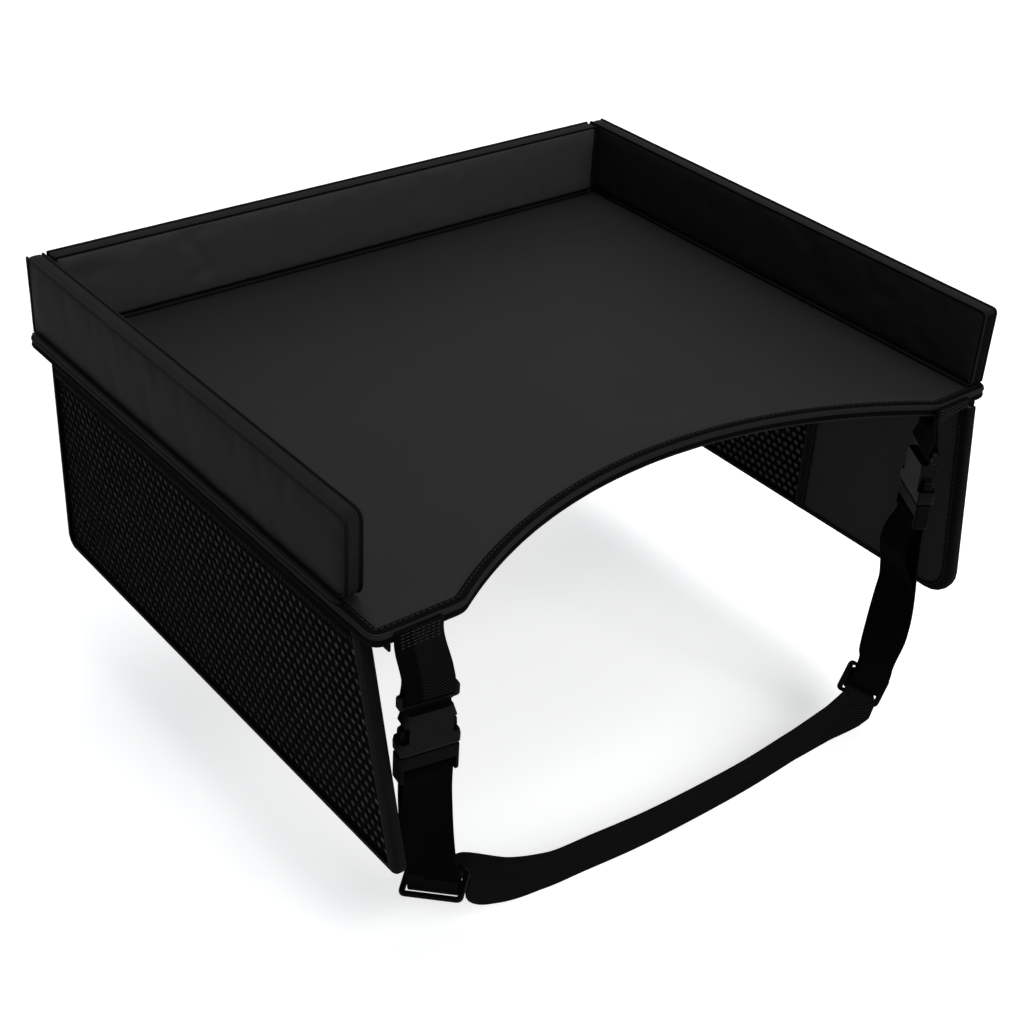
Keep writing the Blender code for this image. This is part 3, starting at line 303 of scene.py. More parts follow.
def smooth(knots, step):
    """Knots on a smooth curve through the given ones, no further apart than step."""
    fine = []
    last = len(knots) - 1
    for i in range(last):
        p = [knots[k][0] for k in (max(i - 1, 0), i, i + 1, min(i + 2, last))]
        reach = (p[2] - p[1]).length
        start = (p[2] - p[0]) * (reach / max((p[2] - p[0]).length, FIT_GAP))
        end = (p[3] - p[1]) * (reach / max((p[3] - p[1]).length, FIT_GAP))
        fine.append(knots[i])
        pieces = max(1, math.ceil(reach / step))
        for k in range(1, pieces):
            t = k / pieces
            place = p[1] * (2 * t**3 - 3 * t**2 + 1) + p[2] * (3 * t**2 - 2 * t**3)
            place += start * (t**3 - 2 * t**2 + t) + end * (t**3 - t**2)
            both = knots[i][2] and knots[i + 1][2]
            face = knots[i][2].slerp(knots[i + 1][2], t) if both else None
            fine.append((place, knots[i][1].lerp(knots[i + 1][1], t).normalized(), face))
    return fine + [knots[-1]]


def set_out(name, bm, materials):
    """Turns a worked mesh into a piece of the scene, with its materials."""
    mesh = bpy.data.meshes.new(name)
    bm.to_mesh(mesh)
    bm.free()
    made = bpy.data.objects.new(name, mesh)
    scene.collection.objects.link(made)
    for material in materials:
        mesh.materials.append(material)
    return made


def skin(name, rows, marks, across, materials, joined=False, finish=None):
    """A closed piece through rows of points round its section, capped at its ends or joined
    end to start, with a UV map in metres: marks along it, and across round the section.
    finish gives the material's number for each strip of the section."""
    bm = bmesh.new()
    cloth = bm.loops.layers.uv.new("cloth")
    lines = [[bm.verts.new(p) for p in row] for row in rows]
    width = len(rows[0])
    for r in range(len(rows) if joined else len(rows) - 1):
        here, there = lines[r], lines[(r + 1) % len(rows)]
        for k in range(width):
            after = (k + 1) % width
            face = bm.faces.new((here[k], here[after], there[after], there[k]))
            corners = ((marks[r], k), (marks[r], k + 1), (marks[r + 1], k + 1), (marks[r + 1], k))
            for loop, (mark, column) in zip(face.loops, corners):
                loop[cloth].uv = (mark, across[column])
            face.smooth = True
            face.material_index = finish[k] if finish else 0
    if not joined:
        bm.faces.new(lines[0])
        bm.faces.new(lines[-1])
    bmesh.ops.recalc_face_normals(bm, faces=bm.faces)
    return set_out(name, bm, materials)


def webbing(name, rings, materials, finish=None):
    """A woven strap through rings of place, width and face, with rounded selvedges."""
    half = [(-1.0, 0.0), (-0.99, 0.6), (-0.955, 0.98), (-0.90, 0.86), (-0.60, 0.88), (-0.30, 0.90)]
    half += [(0.0, 0.90), (0.30, 0.90), (0.60, 0.88), (0.90, 0.86), (0.955, 0.98), (0.99, 0.6)]
    section = half + [(-a, -b) for a, b in half]
    rows, marks = [], [0.0]
    for k, (place, wide, face) in enumerate(rings):
        rows.append([place + wide * (a * WEB_WIDTH / 2) + face * (b * WEB_THICKNESS / 2) for a, b in section])
        if k:
            marks.append(marks[-1] + (place - rings[k - 1][0]).length)
    across = [a * WEB_WIDTH / 2 for a, _ in section + section[:1]]
    return skin(name, rows, marks, across, materials, finish=finish)


class Hang:
    """The way one doubled strap end hangs from its plug's bar down to its slider."""

    def __init__(self, side):
        start = Vector(PLUG_BAR_PLACE[side])
        heading = Vector(SLIDER_HEADING[side]).normalized()
        end = Vector(SLIDER_CENTRE[side]) - heading * HANG_STRAIGHT[side]
        first = start - Vector((0.0, 0.0, HANG_HANDLES[side][0]))
        second = end - heading * HANG_HANDLES[side][1]
        self.course = interpolate_bezier(start, first, second, end, HANG_STEPS + 1)
        self.marks = [0.0]
        for here, there in zip(self.course, self.course[1:]):
            self.marks.append(self.marks[-1] + (there - here).length)
        self.curved = self.marks[-1]
        self.length = self.curved + HANG_STRAIGHT[side]
        self.headings = [(first - start).normalized(), heading]
        yaw = BUCKLE_YAW[side]
        self.across = (Vector((math.cos(yaw), math.sin(yaw), 0.0)), Vector(SLIDER_ACROSS[side]))

    def frame(self, s):
        """Place, direction, width and face direction at a distance s below the bar."""
        share = min(max(s / self.curved, 0.0), 1.0)
        wide = self.across[0].slerp(self.across[1].normalized(), share)
        if s <= 0.0:
            along = self.headings[0]
            place = self.course[0] + along * s
        elif s >= self.curved:
            along = self.headings[1]
            place = self.course[-1] + along * (s - self.curved)
        else:
            k = max(i for i, mark in enumerate(self.marks) if mark <= s)
            along = (self.course[k + 1] - self.course[k]).normalized()
            place = self.course[k] + along * (s - self.marks[k])
        wide = (wide - along * along.dot(wide)).normalized()
        return place, along, wide, along.cross(wide)

    def knots(self, way, turned=1):
        """Knots for a list of (distance below the bar, offset), the same way round or turned."""
        found = []
        for s, offset in way:
            place, _, wide, face = self.frame(s)
            doubled = 0.0 < s <= self.curved
            found.append((place + face * offset, wide * turned, face if doubled else None))
        return found


belt_knots = []
returns = {}
for side in SIDES:
    hang = Hang(side)
    end = hang.length
    wrap = SLIDER_WRAP
    outer = wrap + LAYER_PITCH
    half_frame, inner_edge = 0.0095, 0.0071
    slot_reach = 0.0016 + (inner_edge - 0.0016) * 0.65
    clear_web = 0.0012 + FIT_GAP * 2 + WEB_THICKNESS / 2
    part = LAYER_PITCH / 2
    bulge = RETURN_BULGE[side]
    turn = [math.pi * k / (2 * ARC_STEPS) for k in range(2 * ARC_STEPS + 1)]
    first_turn = math.asin(FIT_GAP / PLUG_BAR_WRAP)
    round_bar = [first_turn + (math.pi / 2 - first_turn) * k / ARC_STEPS for k in range(ARC_STEPS + 1)]
    front = [(-PLUG_BAR_WRAP * math.cos(a), PLUG_BAR_WRAP * math.sin(a)) for a in round_bar]
    back = [(-PLUG_BAR_WRAP * math.cos(a), -PLUG_BAR_WRAP * math.sin(a)) for a in round_bar]
    for share, spread, slack in HANG_LEADS:
        front.append((share * PLUG_DEPTH_BELOW_MOUTH * 2, part + BAR_SPREAD * spread))
        back.append((share * PLUG_DEPTH_BELOW_MOUTH * 2, -part - BAR_SPREAD * spread - bulge * slack))
    first, last = front[-1][0], end - 2 * half_frame
    for k in range(1, HANG_KNOTS + 1):
        front.append((first + (last - first) * k / HANG_KNOTS, part))
        back.append((first + (last - first) * k / HANG_KNOTS, -part))
    around = [(end + wrap * math.sin(a), -wrap * math.cos(a)) for a in turn]
    tail = (end - slot_reach / 2, 2 * part)
    if side == "left":
        back += [(end - half_frame, -2 * part), (end - slot_reach, -2 * part)]
        back += around + [tail, (end - slot_reach, 0.0), (end - half_frame, 0.0)]
        front += [(end - half_frame, 2 * part), (end - slot_reach, 2 * part + FIT_GAP)]
        front += [(end - slot_reach / 2, wrap + FIT_GAP)]
        front += [(end + outer * math.sin(a), outer * math.cos(a)) for a in turn]
        front += [(end - clear_web, -slot_reach), (end - clear_web, -half_frame)]
        front += [(end - part, -half_frame - wrap)]
        belt_knots += hang.knots(front)
        belt_knots += [(Vector(p), Vector(w).normalized(), None) for p, w in zip(BELT_ROUTE, BELT_ACROSS)]
    else:
        lift = (clear_web + part) / 2
        lead = end - half_frame * 1.5
        back += [(lead, -part - lift), (end - half_frame, -clear_web - 2 * part)]
        back += [(end - inner_edge, -clear_web - 2 * part)]
        back += around + [tail, (end - slot_reach * 0.67, -part)]
        over = [share * math.pi for share in (-0.25, 0.0, 0.25)]
        front += [(lead, part - lift), (end - half_frame, -clear_web)]
        front += [(end - inner_edge + part, -clear_web), (end - slot_reach, part)]
        front += [(end + outer * math.sin(a), outer * math.cos(a)) for a in over]
        front += [(end + slot_reach, part), (end + inner_edge - part, -clear_web)]
        front += [(end + half_frame, -clear_web), (end + half_frame + wrap, -clear_web - part)]
        belt_knots += reversed(hang.knots(front, -1))
    returns[side] = webbing(f"belt_end_{side}", square_rings(smooth(hang.knots(back), 0.003)), [smooth_strap])
    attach(returns[side], "strap")
    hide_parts(f"belt_return_{side}")

belt_rings = square_rings(smooth(belt_knots, 0.004))
belt = webbing("waist_belt", belt_rings, [strap_cloth, smooth_strap])
for face in belt.data.polygons:
    if face.center.z > SMOOTH_ABOVE:
        face.material_index = 1
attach(belt, "strap")
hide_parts("belt_run")


# Buckles and sliders
# Moulded black acetal: female halves on the tabs, male halves with two sprung arms on the belt,
# and flat three-bar sliders. The moulding is finely grained and softly clouded.
grain, grain_in, grain_out = effect(
    "moulded grain",
    [
        ("Scale", "NodeSocketFloat", 2400.0),
        ("Colour", "NodeSocketColor", (0.01, 0.01, 0.01, 1.0)),
        ("Dullness", "NodeSocketFloat", 0.27),
    ],
    [("Height", "NodeSocketFloat"), ("Colour", "NodeSocketColor"), ("Roughness", "NodeSocketFloat")],
)
t = grain
where = t.nodes.new("ShaderNodeTexCoord")
speck = t.nodes.new("ShaderNodeTexNoise")
speck.inputs["Detail"].default_value = 3.0
link(t, where.outputs["Object"], speck.inputs["Vector"])
link(t, grain_in.outputs["Scale"], speck.inputs["Scale"])
cloud = t.nodes.new("ShaderNodeTexNoise")
cloud.inputs["Scale"].default_value = 90.0
link(t, where.outputs["Object"], cloud.inputs["Vector"])
tinted = t.nodes.new("ShaderNodeMix")
tinted.data_type = "RGBA"
tinted.blend_type = "MULTIPLY"
tinted.inputs["Factor"].default_value = 0.35
link(t, grain_in.outputs["Colour"], tinted.inputs["A"])
link(t, cloud.outputs[0], tinted.inputs["B"])
link(t, speck.outputs[0], grain_out.inputs["Height"])
link(t, tinted.outputs["Result"], grain_out.inputs["Colour"])
spread = sums(t, "ADD", sums(t, "MULTIPLY", cloud.outputs[0], 0.18), grain_in.outputs["Dullness"])
link(t, spread, grain_out.inputs["Roughness"])


def grained(name, colour, scale, relief, dullness, shine):
    """A finish of one colour, softly clouded, with a fine grain of a relief in metres."""
    made = bpy.data.materials.new(name)
    made.use_nodes = True
    t = made.node_tree
    shader = t.nodes["Principled BSDF"]
    group = t.nodes.new("ShaderNodeGroup")
    group.node_tree = grain
    group.inputs["Scale"].default_value = scale
    group.inputs["Colour"].default_value = (*colour, 1.0)
    group.inputs["Dullness"].default_value = dullness
    bump = t.nodes.new("ShaderNodeBump")
    bump.inputs["Distance"].default_value = relief
    bump.inputs["Strength"].default_value = 0.5
    link(t, group.outputs["Height"], bump.inputs["Height"])
    link(t, group.outputs["Colour"], shader.inputs["Base Color"])
    link(t, group.outputs["Roughness"], shader.inputs["Roughness"])
    link(t, bump.outputs[0], shader.inputs["Normal"])
    shader.inputs["Specular IOR Level"].default_value = shine
    return made


plastic = grained("black acetal", (0.0016, 0.0016, 0.0017), 2400.0, 0.00004, 0.24, 0.045)
dull_plastic = grained("dull black acetal", (0.0008, 0.0008, 0.0009), 2400.0, 0.00005, 0.34, 0.025)
for name, node in nodes.items():
    if name.startswith(("buckle_", "slider_")):
        node.data.materials.clear()
        node.data.materials.append(plastic if name.startswith("buckle_socket") else dull_plastic)


# Buckle tabs
# Short doubled lengths of the same webbing, sewn to the table's front edge by rows of thread.
# Each turns down to its buckle's angle and goes round the bar of the female half.
def stitches(name, runs, material, long=0.0023, pitch=0.0031, thick=0.00026):
    """Lock stitches along runs of (place, direction that the cloth faces), copied from one."""
    bpy.ops.mesh.primitive_uv_sphere_add(segments=6, ring_count=4, radius=1.0)
    shape = bpy.context.object
    corners = [Vector((v.co.z * long / 2, v.co.x * thick, v.co.y * thick)) for v in shape.data.vertices]
    sides = [tuple(face.vertices) for face in shape.data.polygons]
    bpy.data.objects.remove(shape)
    points, faces = [], []
    for run in runs:
        reach = [0.0]
        for here, there in zip(run, run[1:]):
            reach.append(reach[-1] + (there[0] - here[0]).length)
        count = max(1, int(reach[-1] / pitch))
        for k in range(count):
            s = (k + 0.5) * reach[-1] / count
            i = max(n for n in range(len(run) - 1) if reach[n] <= s)
            share = (s - reach[i]) / max(reach[i + 1] - reach[i], 1e-6)
            place = run[i][0].lerp(run[i + 1][0], share)
            along = (run[i + 1][0] - run[i][0]).normalized()
            face = run[i][1].lerp(run[i + 1][1], share)
            face = (face - along * along.dot(face)).normalized()
            side = face.cross(along)
            start = len(points)
            points += [place + along * c.x + side * c.y + face * c.z for c in corners]
            faces += [tuple(start + n for n in around) for around in sides]
    mesh = bpy.data.meshes.new(name)
    mesh.from_pydata(points, [], faces)
    mesh.shade_smooth()
    mesh.materials.append(material)
    made = bpy.data.objects.new(name, mesh)
    scene.collection.objects.link(made)
    return made


thread = grained("black thread", (0.0120, 0.0120, 0.0124), 3000.0, 0.00003, 0.55, 0.10)

TABLE_TOP = 0.0064
HALF_WIDTH, HALF_DEPTH = 0.2010, 0.1640
TAB_INSET = {"left": 0.0225, "right": 0.0310}
TAB_DROP = {"left": 0.0416, "right": 0.0276}
TAB_HANG = {"left": (0.0052, -0.0010), "right": (-0.009, 0.0055)}
TAB_TWIST_SHARE = {"left": 0.78, "right": 0.50}
TAB_SPREAD_SHARE = 0.25
TAB_STEPS = 30
SMOOTH_STRIPS = (*range(5), *range(13, 18))
BAR_WRAP = math.hypot(0.0030, 0.0028) / 2 + FIT_GAP + WEB_THICKNESS / 2
TAB_Y = -HALF_DEPTH - FIT_GAP - (WEB_THICKNESS + LAYER_PITCH) / 2
for side in SIDES:
    yaw = BUCKLE_YAW[side]
    top_x = SIDES[side] * (TAB_INSET[side] - HALF_WIDTH)
    hang_x = top_x + TAB_HANG[side][0]
    hang_y = TAB_Y + TAB_HANG[side][1]
    drop = TAB_DROP[side] - BAR_WRAP - WEB_THICKNESS / 2
    layers, wrapped = {1: [], -1: []}, []
    for k in range(TAB_STEPS + 1):
        fall = drop * k / TAB_STEPS
        free = (fall - 0.0040) / (drop * TAB_TWIST_SHARE[side])
        twist = min(max(free, 0.0), 1.0)
        ease = twist * twist * (3 - 2 * twist)
        wide = Vector((math.cos(yaw * ease), math.sin(yaw * ease), 0.0))
        face_on = Vector((wide.y, -wide.x, 0.0))
        x = top_x + (hang_x - top_x) * ease
        y = TAB_Y + (hang_y - TAB_Y) * ease
        spread = max(0.0, (k / TAB_STEPS - 1 + TAB_SPREAD_SHARE) / TAB_SPREAD_SHARE)
        gap = LAYER_PITCH + (2 * BAR_WRAP - LAYER_PITCH) * spread
        for turned, rings in layers.items():
            face = face_on * turned
            rings.append((Vector((x, y, TABLE_TOP - fall)) + face * (gap / 2), wide, face))
    for k in range(1, 2 * ARC_STEPS):
        a = math.pi * k / (2 * ARC_STEPS)
        face = face_on * math.cos(a) - Vector((0.0, 0.0, math.sin(a)))
        wrapped.append((Vector((hang_x, hang_y, TABLE_TOP - drop)) + face * BAR_WRAP, wide, face))
    plain_part = [1 if side == "left" and k in SMOOTH_STRIPS else 0 for k in range(24)]
    round_eye = layers[1] + wrapped + layers[-1][::-1]
    tab = webbing(f"tab_{side}", round_eye, [strap_cloth, smooth_strap], plain_part)
    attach(tab, "tray")
    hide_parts(f"strap_tab_{side}")
    rows = []
    for fall in (0.0012, 0.0030, 0.0048, 0.0066, 0.0084):
        k = fall / drop * TAB_STEPS
        i = int(k)
        place = layers[1][i][0].lerp(layers[1][i + 1][0], k - i)
        wide, face = layers[1][i][1], layers[1][i][2]
        lifted = place + face * (WEB_THICKNESS / 2)
        rows.append([(lifted + wide * (share * 0.0108), face) for share in (-1.0, 0.0, 1.0)])
    sewn = stitches(f"tab_{side}_stitches", rows, thread, pitch=0.0027)
    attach(sewn, "tray")


# Table
# A stiff board with thin foam on it, in smooth coated cloth above and below. The cloth is
# drawn over the foam, a little crowned, with small puckers where the edge tape is sewn on.
def arc(centre, radius, start, end, steps):
    """Points on an arc of the table's outline."""
    return [
        (
            centre[0] + radius * math.cos(start + (end - start) * k / steps),
            centre[1] + radius * math.sin(start + (end - start) * k / steps),
        )
        for k in range(steps + 1)
    ]


def filled(points, step_counts):
    """A closed outline with its straight runs divided: step_counts gives each run's end."""
    dense = []
    for k, here in enumerate(points):
        there = points[(k + 1) % len(points)]
        steps = step_counts.get(k, 1)
        for n in range(steps):
            share = n / steps
            dense.append((here[0] + (there[0] - here[0]) * share, here[1] + (there[1] - here[1]) * share))
    return dense


CUTOUT_SHIFT, CUTOUT_DEPTH, SHOULDER = 0.0040, 0.0480, 0.0120
CUTOUT_REACH = HALF_WIDTH - 0.0406
CUTOUT_RADIUS = (CUTOUT_REACH**2 + CUTOUT_DEPTH**2) / (2 * CUTOUT_DEPTH) - SHOULDER
CORNER_STEPS, CUTOUT_STEPS = 5, 56


def table_outline(inset):
    """The table's outline seen from above, drawn in by inset, with the cut-out at its front."""
    small = max(0.0060 - inset, 0.0004)
    cx, cy = HALF_WIDTH - inset - small, HALF_DEPTH - inset - small
    centre = (CUTOUT_SHIFT, -HALF_DEPTH + CUTOUT_DEPTH - CUTOUT_RADIUS)
    shoulder_y = -HALF_DEPTH + SHOULDER
    lean = math.atan2(shoulder_y - centre[1], CUTOUT_REACH)
    shoulder = max(SHOULDER - inset, 0.0003)
    quarter = math.pi / 2
    points = arc((cx, cy), small, 0, quarter, CORNER_STEPS)
    points += arc((-cx, cy), small, quarter, math.pi, CORNER_STEPS)
    points += arc((-cx, -cy), small, math.pi, 3 * quarter, CORNER_STEPS)
    points += arc((centre[0] - CUTOUT_REACH, shoulder_y), shoulder, -quarter, -lean, 8)
    points += arc(centre, CUTOUT_RADIUS + inset, math.pi - lean, lean, CUTOUT_STEPS)[1:-1]
    points += arc((centre[0] + CUTOUT_REACH, shoulder_y), shoulder, lean - math.pi, -quarter, 8)
    points += arc((cx, -cy), small, -quarter, 0, CORNER_STEPS)
    one = CORNER_STEPS + 1
    ends = {one - 1: 64, 2 * one - 1: 54, 3 * one - 1: 6, len(points) - one - 1: 6, len(points) - 1: 54}
    return filled(points, ends)


def waver(place, size, scale=90.0, seed=0.0):
    """A small even unevenness of the cloth at a place, up to about size either way."""
    return size * noise.noise(Vector((place[0] * scale + seed, place[1] * scale - seed, seed * 0.7)))


def plate(name, courses, material, unevenness=0.0, seed=0.0):
    """A closed flat piece through courses of (inset, height), the first one under the last."""
    bm = bmesh.new()
    cloth = bm.loops.layers.uv.new("cloth")
    lines = []
    for inset, z in courses:
        depth = math.exp(-(((inset - 0.0062) / 0.0026) ** 2))
        line = []
        for n, (x, y) in enumerate(table_outline(inset)):
            pucker = waver((x, y), unevenness, 260.0, seed) * depth
            pucker += waver((x, y), unevenness * 0.4, 60.0, seed)
            line.append(bm.verts.new((x, y, z + (pucker if z > 0.0055 or z < 0.0001 else 0.0))))
        lines.append(line)
    for below, above in zip(lines, lines[1:]):
        for n in range(len(below)):
            m = (n + 1) % len(below)
            bm.faces.new((below[n], below[m], above[m], above[n]))
    lid = bm.faces.new(lines[-1])
    foot = bm.faces.new(lines[0][::-1])
    bmesh.ops.triangulate(bm, faces=[lid, foot], ngon_method="BEAUTY")
    bmesh.ops.recalc_face_normals(bm, faces=bm.faces)
    for face in bm.faces:
        face.smooth = True
        for loop in face.loops:
            loop[cloth].uv = (loop.vert.co.x, loop.vert.co.y)
    return set_out(name, bm, [material])


# Coated cloth: fine even grain with a slow unevenness, both as height, and a soft mottling.
coat, coat_in, coat_out = effect(
    "coated cloth relief",
    [
        ("Grain", "NodeSocketFloat", 1500.0),
        ("Slow", "NodeSocketFloat", 26.0),
        ("Slow share", "NodeSocketFloat", 6.0),
    ],
    [("Height", "NodeSocketFloat"), ("Shade", "NodeSocketFloat")],
)
t = coat
where = t.nodes.new("ShaderNodeTexCoord")
fine = t.nodes.new("ShaderNodeTexNoise")
fine.inputs["Detail"].default_value = 4.0
fine.inputs["Roughness"].default_value = 0.6
link(t, where.outputs["Object"], fine.inputs["Vector"])
link(t, coat_in.outputs["Grain"], fine.inputs["Scale"])
slow = t.nodes.new("ShaderNodeTexNoise")
slow.inputs["Detail"].default_value = 2.0
link(t, where.outputs["Object"], slow.inputs["Vector"])
link(t, coat_in.outputs["Slow"], slow.inputs["Scale"])
swell = sums(t, "MULTIPLY", slow.outputs[0], coat_in.outputs["Slow share"])
link(t, sums(t, "ADD", fine.outputs[0], swell), coat_out.inputs["Height"])
blotch = t.nodes.new("ShaderNodeTexNoise")
blotch.inputs["Scale"].default_value = 420.0
blotch.inputs["Detail"].default_value = 5.0
link(t, where.outputs["Object"], blotch.inputs["Vector"])
both = sums(t, "ADD", sums(t, "MULTIPLY", blotch.outputs[0], 0.6), sums(t, "MULTIPLY", slow.outputs[0], 0.4))
link(t, both, coat_out.inputs["Shade"])


def coated(name, dark, light, relief, roughness, shine, grain_scale=1500.0):
    """Smooth black coated cloth between two tones, with its grain's relief in metres."""
    values = {"Grain": grain_scale}
    return two_toned(name, coat, values, dark, light, relief, 0.7, roughness, shine)


top_cloth = coated("coated table cloth", (0.0078,) * 3, (0.0125, 0.0125, 0.0129), 0.00006, 0.60, 0.07)
base_cloth = coated("coated base cloth", (0.0080,) * 3, (0.0125, 0.0125, 0.0130), 0.00006, 0.70, 0.08)
foam_cells = grained("cut foam", (0.50, 0.50, 0.47), 1800.0, 0.0004, 0.85, 0.10)
board_sheet = grained("board sheet", (0.28, 0.28, 0.27), 700.0, 0.00005, 0.45, 0.30)

cover = plate(
    "table_cover",
    [(0.0011, 0.0059), (0.0011, 0.0062), (0.0020, 0.0064), (0.0036, 0.0062), (0.0052, 0.0062)]
    + [(0.0066, 0.0064), (0.0082, 0.0066), (0.0100, 0.0067), (0.0116, 0.0067)],
    top_cloth,
    0.0004,
    3.0,
)
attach(cover, "tray")
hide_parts("table_top_cover")

foam = plate(
    "table_foam",
    [(0.0014, 0.0036), (0.0011, 0.0039), (0.0011, 0.0053), (0.0016, 0.0056), (0.0040, 0.0057)],
    foam_cells,
)
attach(foam, "tray")
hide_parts("table_foam_pad")

base = plate("table_base", [(0.0108, 0.0), (0.0108, 0.0006), (0.0116, 0.0006)], base_cloth, 0.0001, 7.0)
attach(base, "tray")
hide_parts("table_base_cover")
nodes["table_board"].data.materials.clear()
nodes["table_board"].data.materials.append(board_sheet)


# Table edge tape
# Ribbed binding tape folded round the whole edge, the cut-out too, and lock stitched near its
# upper selvedge. Its two folds stand out as soft rolls with a shallow valley between them. Its
# upper lip is darker than the ribs; the valley and the lower fold are painted darker as shade
# under the table's edge, except low along the cut-out, where the lower fold keeps the ribs' tone.
def run_round(points):
    """Lengths along a closed ring of points, from the first one round to it again."""
    runs = [0.0]
    for here, there in zip(points, points[1:] + points[:1]):
        runs.append(runs[-1] + math.dist(here, there))
    return runs


ribbed = woven(
    "ribbed edge tape", (0.0060,) * 3, (0.0150, 0.0150, 0.0155), 0.0010, 0.9, 0.0022, 0.00012, 0.80, 0.04
)
lip_tape = woven(
    "tape upper lip", (0.0004,) * 3, (0.0050, 0.0050, 0.0052), 0.0013, 0.9, 0.0022, 0.00015, 0.85, 0.015
)
# The tape's valley and lower fold: the same ribbed tape painted darker, as shade under the table's edge.
shade_painted_fold = woven("tape fold painted in shade", (0.0007,) * 3, (0.0028,) * 3, 0.0009, 0.0, 0.0050, 0.00010, 0.85, 0.02)
tape_section = [
    (0.0105, 0.0000), (0.0060, 0.0000), (0.0020, -0.0001), (0.0006, 0.0002),
    (-0.0001, 0.0009), (-0.0004, 0.0018), (-0.0003, 0.0027), (0.0001, 0.0033),
    (0.0003, 0.0037), (0.0001, 0.0041), (-0.0003, 0.0048), (-0.0004, 0.0056),
    (-0.0001, 0.0065), (0.0006, 0.0071), (0.0016, 0.0074), (0.0034, 0.0074),
    (0.0050, 0.0072), (0.0053, 0.0068), (0.0034, 0.0066), (0.0011, 0.0065),
    (0.0008, 0.0058), (0.0008, 0.0012), (0.0012, 0.0006), (0.0105, 0.0006),
]
tape_finish = [1] * 9 + [0] * 4 + [2] * 3 + [1] * 8
CUTOUT_LOWER = (0.1650, -0.1050, 0.0022)
rows = []
outlines = [table_outline(inset) for inset, _ in tape_section]
for n, spot in enumerate(outlines[0]):
    heights = [z + waver(spot, 0.00012, 200.0, k * 0.3) for k, (_, z) in enumerate(tape_section)]
    rows.append([Vector((*outlines[k][n], z)) for k, z in enumerate(heights)])
marks, across = run_round(outlines[0]), run_round(tape_section)
tape_cloths = [ribbed, shade_painted_fold, lip_tape]
edge = skin("table_edge_tape", rows, marks, across, tape_cloths, joined=True, finish=tape_finish)
# Low along the cut-out, where light reaches the lower fold, it takes the ribbed tape without painted shade.
for face in edge.data.polygons:
    x, y, z = face.center
    if abs(x) < CUTOUT_LOWER[0] and y < CUTOUT_LOWER[1] and z < CUTOUT_LOWER[2]:
        face.material_index = 0
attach(edge, "tray")
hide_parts("table_edge_binding")
upper = [(Vector((x, y, 0.00745)), Vector((0, 0, 1))) for x, y in table_outline(0.0036)]
under = [(Vector((x, y, -0.0001)), Vector((0, 0, -1))) for x, y in table_outline(0.0085)]
for name, run in (("table_edge_stitches", upper), ("table_base_stitches", under)):
    sewn = stitches(name, [run + run[:1]], thread)
    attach(sewn, "tray")


# Walls
# Three padded boards with smooth coated cloth outside and inside, boxed by a twill strip that
# has a welt on both edges. A corded seam along each foot is the fold line on the table's edge.
WALL_OUT, WALL_IN = -0.0014, -0.0110
WALLS = {
    "left": (-0.1385, 0.1615, (0.0080, 0.0055)),
    "right": (-0.1610, 0.1615, (0.0030, 0.0030)),
    "back": (-0.1868, 0.1868, (0.0005, 0.0005)),
}
WALL_FOOT, WALL_HEAD = -0.0011, 0.0439


def on_wall(wall, along, out, up):
    """A place given along a wall's foot, outwards from it and up, as a point of the frame."""
    if wall == "back":
        return Vector((along, 0.1629 + out, 0.0087 + up))
    return Vector((-0.1999 - out if wall == "left" else 0.1999 + out, along, 0.0087 + up))


def wall_rim(wall, inset, step=0.0060):
    """A wall's outline as (along, up), drawn in by inset, in the same number of points."""
    low, high, (foot_round, head_round) = WALLS[wall]
    low, high, foot, head = low + inset, high - inset, WALL_FOOT + inset, WALL_HEAD - inset
    a, b = max(foot_round - inset, 0.0003), max(head_round - inset, 0.0003)
    c = 0.0014
    quarter = math.pi / 2
    points = arc((low + a, foot + a), a, 2 * quarter, 3 * quarter, 6)
    points += arc((high - c, foot + c), c, 3 * quarter, 4 * quarter, 3)
    points += arc((high - c, head - c), c, 0, quarter, 3)
    points += arc((low + b, head - b), b, quarter, 2 * quarter, 6)
    long_steps = round((WALLS[wall][1] - WALLS[wall][0]) / step)
    return filled(points, {6: long_steps, 10: 6, 14: long_steps, 21: 6})


def grid_on(wall, inset, columns, rows, seam):
    """A grid of (along, up) that fills a wall's outline down to a seam above its foot, with
    the outline's rounded corners."""
    low, high, (foot_round, head_round) = WALLS[wall]
    low, high, foot, head = low + inset, high - inset, WALL_FOOT + inset + seam, WALL_HEAD - inset
    grid = []
    for i in range(columns + 1):
        line = []
        for j in range(rows + 1):
            along, up = low + (high - low) * i / columns, foot + (head - foot) * j / rows
            for level, radius in ((foot, foot_round - inset), (head, head_round - inset)):
                toward = 1 if level == foot else -1
                cx, cy = low + radius, level + toward * radius
                if radius > 0 and along < cx and (up - cy) * toward < 0:
                    reach = max(abs(along - cx), abs(up - cy))
                    gone = math.hypot(along - cx, up - cy)
                    if gone > 0:
                        along, up = cx + (along - cx) * reach / gone, cy + (up - cy) * reach / gone
            line.append((along, up))
        grid.append(line)
    return grid


